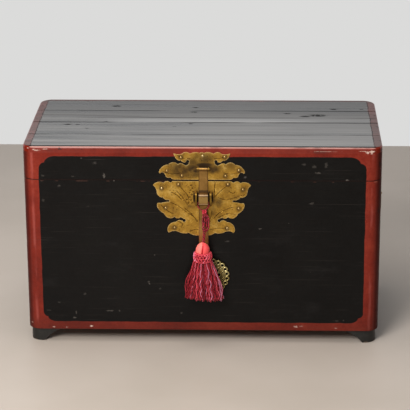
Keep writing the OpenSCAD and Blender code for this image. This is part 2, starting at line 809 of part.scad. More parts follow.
module handle_bail(side) {
    pin_end = handle_span / 2 - post_t / 2 - 1;
    color(brass) mirror([side > 0 ? 0 : 1, 0, 0]) translate([post_x, mid_y, handle_z]) union() {
        for (end = [0, 1])
            mirror([0, end, 0]) {
                translate([0, leg_y, 0]) sphere(r = bail_r, $fn = fine);
                translate([0, leg_y, bail_bend - bail_drop])
                    cylinder(r = bail_r, h = bail_drop - bail_bend, $fn = fine);
                translate([0, leg_y, 0]) rotate([90, 0, 0])
                    cylinder(r = bail_pin_r, h = leg_y - pin_end, $fn = fine);
                translate([0, leg_y - bail_bend, bail_bend - bail_drop]) rotate([0, 90, 0])
                    rotate_extrude(angle = 90, $fn = fine)
                        translate([bail_bend, 0]) circle(r = bail_r, $fn = fine);
            }
        translate([0, leg_y - bail_bend, -bail_drop]) rotate([90, 0, 0])
            cylinder(r = bail_r, h = 2 * (leg_y - bail_bend), $fn = fine);
    }
}

module handle_left_washers() { handle_washers(-1); }
module handle_right_washers() { handle_washers(1); }
module handle_left_posts() { handle_posts(-1); }
module handle_right_posts() { handle_posts(1); }
module handle_left_bail() { handle_bail(-1); }
module handle_right_bail() { handle_bail(1); }

// Lid
module lid_rail_front() {
    color(red) difference() {
        between(lid_z, rail_top) long_wall(front_y, lid_z, rail_top, lid_tail_count);
        upper_holes();
    }
}

module lid_rail_back() {
    color(red) difference() {
        between(lid_z, rail_top) long_wall(back_y - board_t, lid_z, rail_top, lid_tail_count);
        hinge_nail_set(1, pin_clear);
    }
}

module lid_rail_end(side) {
    color(red) between(lid_z, rail_top) end_wall(side, lid_z, rail_top, lid_tail_count);
}

module lid_rail_left() { lid_rail_end(-1); }
module lid_rail_right() { lid_rail_end(1); }

// Section of the lid's top about its middle, with rounded edges
module edge_section(half) {
    e = top_edge_r;
    union() {
        translate([-half, 0]) square([2 * half, plank_t - e]);
        translate([e - half, 0]) square([2 * half - 2 * e, plank_t]);
        for (side = [-1, 1])
            translate([side * (half - e), plank_t - e]) circle(r = e, $fn = fine);
    }
}

module lid_top() {
    w = side_x - corner_r;
    d = chest_d / 2 - corner_r;
    translate([0, mid_y, rail_top]) union() {
        translate([-w, 0, 0]) rotate([90, 0, 90]) linear_extrude(2 * w) edge_section(chest_d / 2);
        translate([0, d, 0]) rotate([90, 0, 0]) linear_extrude(2 * d) edge_section(side_x);
        for (sx = [-1, 1])
            for (sy = [-1, 1])
                translate([sx * w, sy * d, 0]) rotate_extrude($fn = fine) intersection() {
                    edge_section(corner_r);
                    square([corner_r, plank_t]);
                }
    }
}

module lid_plank(i) {
    pitch = chest_d / plank_count;
    y_low = front_y + i * pitch;
    color(grey) if (i < plank_count) intersection() {
        lid_top();
        span([-side_x - past, y_low, rail_top], [side_x + past, y_low + pitch, top_z + past]);
    }
}

module lid_plank_1() { lid_plank(0); }
module lid_plank_2() { lid_plank(1); }
module lid_plank_3() { lid_plank(2); }
module lid_plank_4() { lid_plank(3); }

// Cord: a round tube swept along a smooth curve through its route
function unit(v) = v / norm(v);

function curve_point(a, b, c, d, t) =
    (2 * b + (c - a) * t + (2 * a - 5 * b + 4 * c - d) * t * t + (3 * b - a - 3 * c + d) * t * t * t) / 2;

function smooth_route(p, steps) =
    let (last = len(p) - 1)
    concat([for (i = [0:last - 1]) each [for (k = [0:steps - 1])
        curve_point(p[max(0, i - 1)], p[i], p[i + 1], p[min(last, i + 2)], k / steps)]], [p[last]]);

module cord_tube(route, d) {
    sides = 8;
    line = smooth_route(route, 2);
    last = len(line) - 1;
    rings = [for (i = [0:last])
        let (along = unit(line[min(last, i + 1)] - line[max(0, i - 1)]))
        let (u = unit(cross(along, [0, 1, 0])), v = cross(along, u))
        [for (k = [0:sides - 1]) line[i] + d / 2 * (cos(k * 360 / sides) * u + sin(k * 360 / sides) * v)]];
    points = [for (ring = rings) each ring];
    walls = [for (i = [0:last - 1]) for (k = [0:sides - 1])
        let (a = i * sides + k, b = i * sides + (k + 1) % sides)
        each [[a, b, b + sides], [a, b + sides, a + sides]]];
    start = [for (k = [sides - 1:-1:0]) k];
    end = [for (k = [0:sides - 1]) last * sides + k];
    polyhedron(points, concat(walls, [start, end]));
}

module tassel_cord() { color(crimson) cord_tube(cord_route, cord_d); }
module tassel_cord_loop() { color(crimson) cord_tube(loop_route, cord_d); }
module tassel_knot() { color(crimson) translate(knot_at) sphere(r = knot_r, $fn = fine); }

// Tassel
module tassel_head() {
    top_r = 4;
    outline = concat([[0, 0]], edge_points([head_r - 1, 0], [head_r, head_h * 0.35], -0.1),
        edge_points([head_r, head_h * 0.35], [top_r, head_h], -0.4), [[top_r, head_h], [0, head_h]]);
    color(coral) translate([tassel_at[0], tassel_at[1], collar_top])
        rotate_extrude($fn = fine) polygon(outline);
}

module tassel_collar() {
    waist = collar_r - 2;
    outline = concat([[0, 0]], edge_points([waist, 0], [waist, collar_h / 2], -0.3),
        edge_points([waist, collar_h / 2], [waist, collar_h], -0.3), [[waist, collar_h], [0, collar_h]]);
    color(crimson) translate([tassel_at[0], tassel_at[1], skirt_top])
        rotate_extrude($fn = fine) polygon(outline);
}

// Skirt: rings that widen sideways, lean a little and fall into folds towards the hem
module tassel_skirt() {
    sides = skirt_folds * 4;
    rings = 8;
    fold_depth = 0.07;
    top_half_w = collar_r + 1.5;
    top_half_d = collar_r - 5;
    ring_point = function(i, k)
        let (t = i / rings, turn = k * 360 / sides)
        let (fold = 1 + fold_depth * t * (cos(turn * skirt_folds) - 1))
        let (half_w = top_half_w + (skirt_half_w - top_half_w) * pow(t, 0.85))
        let (half_d = top_half_d + (skirt_half_d - top_half_d) * t)
        [skirt_lean * t + half_w * fold * cos(turn), half_d * fold * sin(turn), -skirt_l * t];
    hem_mid = [skirt_lean, 0, -skirt_l];
    points = concat([for (i = [0:rings]) for (k = [0:sides - 1]) ring_point(i, k)], [[0, 0, 0], hem_mid]);
    top_mid = (rings + 1) * sides;
    walls = [for (i = [0:rings - 1]) for (k = [0:sides - 1])
        let (a = i * sides + k, b = i * sides + (k + 1) % sides)
        each [[a, b, b + sides], [a, b + sides, a + sides]]];
    ends = [for (k = [0:sides - 1])
        let (next = (k + 1) % sides)
        each [[top_mid, next, k], [top_mid + 1, rings * sides + k, rings * sides + next]]];
    color(crimson) translate([tassel_at[0], tassel_at[1], skirt_top])
        polyhedron(points, concat(walls, ends));
}

front_board_upper();
front_board_lower();
back_board_upper();
back_board_lower();
left_board_upper();
left_board_lower();
right_board_upper();
right_board_lower();
bottom_board_front();
bottom_board_back();
lip_front();
lip_left();
lip_right();
foot_front_left();
foot_front_right();
foot_back_left();
foot_back_right();
lower_lock_plate();
lower_plate_nails();
lock_eye_left();
lock_eye_right();
hinge_left_lower_leaf();
hinge_right_lower_leaf();
hinge_left_pin();
hinge_right_pin();
hinge_nails_lower();
handle_left_washers();
handle_right_washers();
handle_left_posts();
handle_right_posts();
handle_left_bail();
handle_right_bail();
lid_rail_front();
lid_rail_back();
lid_rail_left();
lid_rail_right();
lid_plank_1();
lid_plank_2();
lid_plank_3();
lid_plank_4();
upper_lock_plate();
upper_plate_nails();
hasp_ear_left();
hasp_ear_right();
hasp_pin();
hinge_left_upper_leaf();
hinge_right_upper_leaf();
hinge_nails_upper();
hasp();
rosette_rivet();
rosette();
tassel_cord();
tassel_cord_loop();
tassel_knot();
tassel_head();
tassel_collar();
tassel_skirt();
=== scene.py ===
"""A lacquered wedding chest: the looks, in metres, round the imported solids. The front faces -Y."""
import math
import random

import bpy
import numpy as np
from mathutils import Matrix, Vector
from mathutils.geometry import delaunay_2d_cdt


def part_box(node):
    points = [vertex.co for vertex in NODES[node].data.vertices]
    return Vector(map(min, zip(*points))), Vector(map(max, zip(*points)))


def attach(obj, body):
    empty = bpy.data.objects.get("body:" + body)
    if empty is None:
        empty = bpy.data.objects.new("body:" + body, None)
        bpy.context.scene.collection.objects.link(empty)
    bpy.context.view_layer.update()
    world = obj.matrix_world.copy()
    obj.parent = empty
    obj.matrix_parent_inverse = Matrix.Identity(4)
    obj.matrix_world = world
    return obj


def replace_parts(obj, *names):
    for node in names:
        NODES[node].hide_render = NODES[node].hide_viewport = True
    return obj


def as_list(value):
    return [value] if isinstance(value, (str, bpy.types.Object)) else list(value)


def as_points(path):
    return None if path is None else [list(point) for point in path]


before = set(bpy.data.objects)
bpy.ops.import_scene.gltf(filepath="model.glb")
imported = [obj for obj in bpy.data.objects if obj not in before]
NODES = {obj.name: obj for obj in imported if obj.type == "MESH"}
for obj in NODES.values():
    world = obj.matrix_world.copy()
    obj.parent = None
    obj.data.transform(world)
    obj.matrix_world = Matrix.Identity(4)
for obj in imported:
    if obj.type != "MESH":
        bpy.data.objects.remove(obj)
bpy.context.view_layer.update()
MM = 0.001

# The camera at the photograph's viewing angle
CAMERA_AT = (0.15808, -4.50344, 1.85662)
CAMERA_LENS = 162.56
CAMERA_TURN = math.radians(-2.013)
CAMERA_DOWN = math.radians(19.134)
CAMERA_ROLL = math.radians(-0.326)

# Routes of the tassel's cord, in millimetres
CORD_ROUTE = [
    (3.5, -217, 378.5), (7, -217, 378.5), (10.5, -217, 378.5), (14, -217, 377.5), (16.1, -217, 375),
    (16.9, -217, 371.5), (16.9, -217.5, 367), (15, -218.5, 362), (10, -219.5, 358), (5, -220, 354),
    (3, -220.5, 348), (3, -221.5, 340), (3.5, -222.5, 328), (4, -223.5, 316), (4, -225.5, 306),
    (4, -228, 301), (4, -231.5, 296), (3.6, -234.8, 291), (3, -237.5, 286.5), (2.4, -239.3, 282.5),
    (2, -240, 279.5),
]
# The cord runs on through the head and the collar, and its end hangs among the strands
CORD_INNER = [(2, -240, 262), (2, -240, 240), (2, -240, 215), (2, -240, 185), (3, -240, 150)]
LOOP_ROUTE = [
    (3.5, -217, 378.5), (0, -217, 378.5), (-3.5, -217, 378.5), (-7, -217, 377.5), (-9.1, -217, 375),
    (-9.9, -217, 371.5), (-9.9, -217.5, 367), (-8, -219, 362), (-2, -221.5, 358), (4, -224, 354.5),
    (10, -225.5, 349.5), (13.5, -226.5, 342), (14.5, -227.5, 330), (14.5, -228.5, 318), (15, -229, 311),
    (13.1, -229.2, 306.4), (8.5, -229.3, 304.5), (3.9, -229.4, 306.4), (2, -229.6, 311), (2, -230.5, 325),
    (2, -231.5, 338.5), (4.2, -231.9, 343.8), (9.5, -232.2, 346), (14.8, -232.4, 343.8), (17, -232.5, 338.5),
    (17, -232.8, 327), (17, -233, 316.5), (15.1, -233.2, 311.9), (10.5, -233.5, 310), (5.9, -233.8, 311.9),
    (4, -233.9, 316.5), (5, -233.5, 323), (7, -231.5, 330), (7.5, -229, 337), (7, -227.5, 343),
    (6.5, -226.5, 347),
]
# Two more strands come out of the knot: its short end, and the cord's other half down to the head
KNOT_STRANDS = [
    [(8, -227, 349), (10, -229.5, 343), (11.5, -231, 334), (11.5, -232.3, 325), (10.8, -233, 316.5)],
    [(7, -222, 350), (8.6, -221.6, 343), (9, -221.6, 330), (8.8, -222.6, 316), (8.4, -224.6, 306), (7.8, -228, 299),
     (7, -232, 293), (6.4, -236, 287.5), (6, -238.6, 282), (5.4, -240, 276)],
]
# Over the lobes of the yarn, and as the mean of the whole cord; turns of the yarn in a metre
CORD_WIDTH = 0.0038
CORD_TWIST = 260
CORD_STEPS = 7

# Main places of the chest, in metres
SIDE_X = 0.440
FRONT_Y = -0.210
BACK_Y = 0.214
MID_Y = 0.002
TOP_Z = 0.514
PLATE_Y = -0.2112
PLATE_GRID = 0.0017
PLATE_SWELL = 0.00025
CUT_DEPTH = 0.0005
PUNCH_R = 0.0015
HASP_X = 0.0035
TASSEL_X = 0.002
TASSEL_Y = -0.240
RIVET_Z = 0.217
ROSETTE_Y = -0.216
ROSETTE_R = 0.0395
ROSETTE_TURN = math.radians(27)
CORNER_R = 0.032
SEAM_Z = 0.430
TOP_JOINTS = ((-0.104, 0.0012), (0.002, 0.0018), (0.045, 0.0008), (0.108, 0.0014))

# The black panel: its foot, its top, and its half width on the front and on the ends
PANEL_LOW, PANEL_HIGH = 0.054, 0.4908
PANEL_FRONT, PANEL_END = 0.4005, 0.172
# The two lobes at its corners: place, radius and how far the lobe is drawn out; their size low and high
LOBES = ((0.014, 0.0305, 0.014, 1.0), (0.0415, 0.017, 0.0165, 0.6))
LOBES_LOW, LOBES_HIGH = 0.85, 1.0

# Marks on the front: x, height, half width and half height in millimetres, and strength
SCUFFS = [
    (-390, 440, 4, 3, 0.3), (-316, 438, 5, 2, 0.3), (-240, 440, 3, 6, 0.75), (-295, 485, 3, 2, 0.4),
    (-262, 473, 5, 4, 0.3), (-351, 414, 4, 3, 0.35), (-216, 428, 2, 2, 0.6), (-391, 376, 4, 4, 0.25),
    (-281, 361, 5, 2, 0.25), (249, 472, 5, 3, 0.3), (274, 467, 6, 5, 0.3), (284, 450, 7, 3, 0.5),
    (303, 470, 4, 8, 0.3), (354, 432, 4, 2, 1.0), (269, 371, 6, 4, 0.3), (-119, 234, 2, 2, 0.6),
    (-134, 163, 3, 3, 0.5), (-132, 157, 2, 2, 0.8), (106, 438, 3, 3, 0.6), (142, 305, 5, 2, 0.4),
    (63, 271, 5, 2, 0.35), (-54, 79, 3, 3, 0.4), (-106, 145, 3, 3, 0.3), (-322, 65, 4, 3, 0.7),
    (-318, 80, 2, 6, 0.5), (-232, 84, 11, 2, 0.5), (-209, 84, 2, 3, 0.5), (-359, 106, 4, 2, 0.3),
    (-295, 129, 4, 3, 0.3), (-385, 84, 6, 2, 0.25), (352, 62, 2, 2, 0.5), (334, 61, 6, 2, 0.3),
]
PALE_CHIPS = [
    (-411, 507, 4, 2, 0.8), (-403, 505, 8, 2, 0.5), (-425, 509, 3, 1, 0.8), (-383, 508, 9, 1, 0.5),
    (403, 503, 8, 3, 0.9), (415, 505, 5, 3, 1.0), (412, 500, 3, 2, 0.8), (-280, 42, 4, 2, 0.8),
    (-376, 39, 4, 2, 0.35), (-343, 38, 3, 2, 0.3), (-431, 48, 3, 2, 0.3), (233, 44, 5, 3, 0.4),
    (395, 506, 14, 1, 0.5), (300, 505, 30, 1, 0.3), (334, 41, 4, 2, 0.3), (248, 46, 6, 2, 0.2),
]
DARK_CHIPS = [
    (-346, 509, 6, 3, 0.9), (-292, 508, 4, 3, 0.7), (-372, 505, 9, 2, 0.4), (285, 502, 18, 4, 0.35),
    (434, 470, 3, 9, 0.8), (436, 400, 2, 12, 0.7), (433, 350, 3, 10, 0.5), (-437, 436, 3, 5, 0.5),
]

# Lines cut in the lock plates, as x and height in millimetres
VEINS = [
    [(-57, 418), (-50, 410), (-37, 394), (-31, 380)], [(-62, 402), (-49, 388), (-35, 366)],
    [(-77, 373), (-55, 361), (-37, 347), (-21, 336), (-11, 323)], [(-42, 358), (-27, 344), (-14, 327)],
    [(-101, 366), (-86, 352), (-73, 344)], [(-63, 325), (-50, 319), (-50, 312), (-54, 311)],
    [(-30, 298), (-19, 302), (-9, 303)], [(-75, 399), (-62, 393), (-50, 380)],
    [(64, 419), (51, 408), (38, 395), (29, 386)], [(32, 427), (31, 413), (30, 389)],
    [(105, 394), (82, 386), (59, 380), (41, 386)], [(79, 362), (61, 356), (41, 345), (28, 331)],
    [(82, 342), (61, 344), (41, 334)], [(61, 306), (41, 306), (20, 303)], [(25, 353), (21, 331)],
    [(67, 402), (77, 397), (81, 402)], [(-95, 452), (-75, 446), (-52, 449)], [(95, 452), (75, 447), (52, 450)],
    [(-60, 494), (-45, 487), (-28, 486)], [(60, 494), (45, 487), (30, 486)],
]
# Small rings punched beside the left lock eye
PUNCHES = [
    (-26, 417), (-23, 410), (-28, 405), (-21, 401), (-31, 399), (-25, 393), (-31, 386), (-26, 379),
    (-37, 380), (-33, 372), (-24, 371),
]
# Stains, and painted shadow round the hasp's pin and behind the lock eyes
# Dark patches on the lock plates: x, height, half width, half height, and a strength that goes to black above 1
STAINS_AND_SHADOWS = [
    (-52, 457, 29, 16, 0.97), (-18, 459, 27, 15, 1.0), (5, 464, 27, 12, 1.0), (30, 461, 18, 9, 1.05),
    (3.5, 470, 26, 6, 1.2), (-16, 455, 8, 7, 1.1), (24, 455, 9, 7, 1.1),
    (-24, 446, 24, 10, 0.85), (-19, 385, 2.8, 14, 1.5), (25, 385, 2.8, 14, 1.5), (40, 330, 9, 15, 0.35),
    (3, 486, 24, 14, 0.85), (-75, 470, 13, 9, 0.5), (70, 466, 14, 10, 0.5), (-22, 476, 20, 11, 0.8),
    (-15, 380, 7, 12, 0.7), (27, 378, 8, 10, 0.8), (40, 374, 11, 12, 0.75),
    (-11.5, 384, 5, 17, 1.9), (18.5, 384, 5, 17, 1.9), (-25, 363, 10, 5, 0.6), (27, 352, 7, 14, 0.5),
    (-95, 414, 12, 8, 0.3), (84, 384, 18, 8, 0.3), (62, 404, 10, 6, 0.35), (-66, 352, 12, 8, 0.25),
]
# The nails of the plates, and the painted shade of a dark ring round each
NAIL_SHADE = (6, 6, 0.95)
NAILS = [
    (-51, 489), (-85, 454), (-49, 442), (2, 493), (56, 490), (91, 456), (58, 442), (-57, 419), (-99, 409),
    (-89, 358), (-68, 307), (64, 420), (100, 407), (90, 357), (61, 306),
]

# Knots on the lid: x, y and half length, in metres
KNOTS = [
    (-0.347, -0.020, 0.014), (-0.295, -0.053, 0.008), (-0.252, 0.008, 0.007), (-0.321, -0.020, 0.008),
    (-0.235, 0.148, 0.016), (-0.028, 0.137, 0.010), (-0.030, 0.095, 0.012), (-0.035, -0.010, 0.008),
    (-0.075, -0.035, 0.006), (0.288, 0.068, 0.030), (0.331, 0.126, 0.014), (0.256, 0.060, 0.018),
    (0.210, 0.085, 0.012), (0.403, 0.127, 0.007), (0.436, -0.030, 0.007), (0.434, 0.070, 0.005),
    (0.437, -0.150, 0.005), (-0.430, 0.150, 0.004),
]
STRANDS = 240
STRAND_R, LOOSE_R = 0.0013, 0.0012
# The loose strands at the skirt's sides: how far out the foot is, its height and its tone
LOOSE_STRANDS = [
    (-0.0440, 0.1360, 0.45), (-0.0425, 0.1330, 0.25), (-0.0400, 0.1300, 0.60), (0.0455, 0.1290, 0.35),
    (0.0470, 0.1260, 1.05), (0.0440, 0.1240, 1.10), (0.0485, 0.1330, 0.55),
]

# Colours are sRGB values of 0 to 255. Brass goes from its brown hollows to its rubbed places.
INNER_WOOD = [(92, 58, 36), (138, 96, 62)]
GOLDEN = [(96, 70, 26), (142, 110, 42), (170, 136, 54), (200, 170, 90)]
GILDED = [(88, 62, 24), (152, 114, 44), (190, 148, 60), (226, 192, 108)]
BROWNED = [(122, 92, 48), (142, 107, 55), (158, 120, 64), (184, 150, 90)]
DARKENED = [(70, 50, 26), (112, 84, 46), (140, 108, 62), (170, 138, 86)]
RUBBED = [(104, 76, 36), (148, 116, 60), (184, 152, 94), (222, 200, 150)]
PALE = [(92, 78, 42), (136, 118, 66), (168, 150, 92), (206, 192, 138)]
# Painted shadows and highlights at the strap's raised eye and on its barrel, and a lighter band on its tail
# Bands across the strap, on its tail, at its raised eye and on its barrel: height, half height, strength and colour
STRAP_BANDS = [
    (0.2900, 0.0420, 0.45, (190, 144, 88)), (0.4015, 0.0050, 0.75, (58, 44, 34)),
    (0.3835, 0.0095, 0.35, (196, 164, 100)), (0.3945, 0.0026, 0.60, (142, 126, 108)),
    (0.3725, 0.0014, 0.70, (214, 188, 140)), (0.3685, 0.0022, 0.80, (44, 30, 20)),
    (0.4662, 0.0030, 0.85, (46, 33, 21)), (0.4562, 0.0024, 0.75, (52, 38, 24)),
]

# Soft studio light: name, place, width and power
LAMPS = (("key", (-0.85, -2.2, 1.9), 1.2, 80), ("over", (-0.3, -0.4, 3.2), 2.2, 56))
LAMPS_AIM = (0, 0, 0.25)
# The floor ends behind the chest where the photograph's wall begins
FLOOR = (-9, 9, -9, 1.46)


def turns(count):
    """Angles of as many equal steps round a circle."""
    return [2 * math.pi * k / count for k in range(count)]


def rgb(red, green, blue):
    """An sRGB colour of 0 to 255 as the linear values that a shader takes."""
    parts = [c / 255 for c in (red, green, blue)]
    return tuple(c / 12.92 if c <= 0.04045 else ((c + 0.055) / 1.055) ** 2.4 for c in parts) + (1,)


class Nodes:
    """A node tree of a material or of the world. Most methods add a node and return its output socket."""

    def __init__(self, owner):
        owner.use_nodes = True
        self.tree = owner.node_tree
        self.tree.nodes.clear()

    def add(self, kind, *values, **settings):
        """A new node, with its settings and the values of its first inputs."""
        node = self.tree.nodes.new(kind)
        for key, value in settings.items():
            setattr(node, key, value)
        for socket, value in zip(node.inputs, values):
            self.put(socket, value)
        return node

    def put(self, socket, value):
        if isinstance(value, bpy.types.NodeSocket):
            self.tree.links.new(value, socket)
        else:
            socket.default_value = value

    def fill(self, node, **values):
        """Gives a node's inputs their values by name: Base_Color stands for Base Color."""
        for key, value in values.items():
            self.put(node.inputs[key.replace("_", " ")], value)
        return node

    def math(self, operation, *values):
        return self.add("ShaderNodeMath", *values, operation=operation).outputs[0]

    def chain(self, operation, first, *others):
        for other in others:
            first = self.math(operation, first, other)
        return first

    def most(self, *values):
        return self.chain("MAXIMUM", *values)

    def least(self, *values):
        return self.chain("MINIMUM", *values)

    def times(self, *values):
        return self.chain("MULTIPLY", *values)

    def plus(self, *values):
        return self.chain("ADD", *values)

    def minus(self, a, b):
        return self.math("SUBTRACT", a, b)

    def size(self, value):
        return self.math("ABSOLUTE", value)

    def split(self, vector):
        return self.add("ShaderNodeSeparateXYZ", vector).outputs

    def step(self, value, low, high, to_low=0.0, to_high=1.0):
        """A smooth step from to_low, where the value is low, to to_high, where it is high."""
        values = value, low, high, to_low, to_high
        return self.add("ShaderNodeMapRange", *values, interpolation_type="SMOOTHSTEP").outputs[0]

    def band(self, value, middle, reach, core, strength=1.0):
        """The strength where the value is within core of the middle, and 0 beyond reach."""
        return self.step(self.size(self.minus(value, middle)), reach, core, 0.0, strength)


class Shader(Nodes):
    """One node material, with the place of each point in metres."""

    def __init__(self, name):
        self.material = bpy.data.materials.new(name)
        super().__init__(self.material)
        self.surface = self.add("ShaderNodeBsdfPrincipled")
        self.add("ShaderNodeOutputMaterial", self.surface.outputs["BSDF"])
        self.at = self.add("ShaderNodeTexCoord").outputs["Object"]
        self.x, self.y, self.z = self.split(self.at)

    def point(self, x, y, z):
        return self.add("ShaderNodeCombineXYZ", x, y, z).outputs[0]

    def vector(self, operation, a, b):
        return self.add("ShaderNodeVectorMath", a, b, operation=operation).outputs["Vector"]

    def length(self, vector):
        return self.add("ShaderNodeVectorMath", vector, operation="LENGTH").outputs["Value"]

    def noise(self, scale, detail=4.0, stretch=(1, 1, 1), rough=0.5, bend=0.0):
        return self.fill(self.add("ShaderNodeTexNoise"), Vector=self.vector("MULTIPLY", self.at, stretch),
                         Scale=scale, Detail=detail, Roughness=rough, Distortion=bend).outputs[0]

    def cells(self, scale, stretch):
        return self.fill(self.add("ShaderNodeTexVoronoi"), Vector=self.vector("MULTIPLY", self.at, stretch),
                         Scale=scale).outputs["Distance"]

    def mix(self, factor, a, b):
        node = self.add("ShaderNodeMix", factor, data_type="RGBA")
        self.put(node.inputs[6], a)
        self.put(node.inputs[7], b)
        return node.outputs[2]

    def over(self, paint, colour, *amounts):
        """The paint with a colour laid over it, as strong as the amounts multiplied."""
        return self.mix(self.times(*amounts), paint, rgb(*colour))

    def ramp(self, value, *stops):
        node = self.add("ShaderNodeValToRGB", value)
        line = node.color_ramp.elements
        while len(line) < len(stops):
            line.new(1.0)
        for element, (place, colour) in zip(line, stops):
            element.position = place
            element.color = rgb(*colour)
        return node.outputs[0]

    def value_of(self, attribute):
        return self.add("ShaderNodeAttribute", attribute_name=attribute).outputs["Fac"]

    def bump(self, height, distance, strength=1.0, below=None):
        node = self.fill(self.add("ShaderNodeBump"), Distance=distance, Strength=strength, Height=height)
        if below is not None:
            self.put(node.inputs["Normal"], below)
        return node.outputs[0]

    def finish(self, **values):
        """The material, once the shader's own sockets have their values."""
        self.fill(self.surface, **values)
        return self.material


def marks(s, spots):
    """Small ragged marks on the front, each an x, a height, a half width, a half height and a strength."""
    ragged = s.times(s.minus(s.noise(260, 4, rough=0.65), 0.47), 3.2)
    found = []
    for x, z, wide, tall, much in spots:
        off = s.vector("MULTIPLY", s.vector("SUBTRACT", s.at, (x * MM, 0, z * MM)),
                       (1 / (wide * MM), 0, 1 / (tall * MM)))
        found.append(s.step(s.plus(s.length(off), ragged), 1.2, 0.5, 0.0, much))
    return s.times(s.most(*found), s.math("LESS_THAN", s.y, FRONT_Y + 0.03))


def inward(s, across, deep):
    """Distance in from the rounded outline of the chest, seen from above."""
    u = s.minus(CORNER_R, s.minus(SIDE_X, s.size(across)))
    v = s.minus(CORNER_R, s.minus((BACK_Y - FRONT_Y) / 2, s.size(deep)))
    corner = s.length(s.vector("MAXIMUM", s.point(u, v, 0), (0, 0, 0)))
    return s.minus(CORNER_R, corner)


def lobed_panel(s, across, low, high, half):
    """Depth into a panel whose corners step in by two lobes, below 0 outside it."""
    u = s.minus(half, s.size(across))

    def corner(v, k):
        depths = []
        for at_u, at_v, radius, drawn in LOBES:
            place = s.point(s.times(u, drawn), v, 0)
            reach = s.vector("MAXIMUM", s.vector("SUBTRACT", (at_u * drawn * k, at_v * k, 0), place), (0, 0, 0))
            depths.append(s.minus(radius * k, s.length(reach)))
        return s.most(*depths)

    return s.least(corner(low, LOBES_LOW), corner(high, LOBES_HIGH))


def red_and_black(s, panel):
    """Colours of the red border and the black panel. The panel is its depth in metres."""
    cloud = s.noise(9, 5, rough=0.6)
    fine = s.noise(160, 4, rough=0.65)
    red = s.ramp(s.plus(s.times(cloud, 0.7), s.times(fine, 0.3)),
                 (0.30, (90, 22, 13)), (0.50, (118, 34, 22)), (0.68, (140, 51, 35)))
    black = s.ramp(s.plus(s.times(s.noise(7, 4), 0.6), s.times(fine, 0.4)),
                   (0.35, (6, 5, 5)), (0.65, (14, 13, 12)))
    inside = s.step(panel, -0.0006, 0.0006)
    return s.mix(inside, red, black), inside


def chipped(s, paint):
    """Dark and pale chips in the paint: its colour with them, and where the pale ones are."""
    chip = marks(s, PALE_CHIPS)
    paint = s.over(paint, (38, 20, 17), marks(s, DARK_CHIPS))
    return s.over(paint, (222, 196, 182), chip), chip


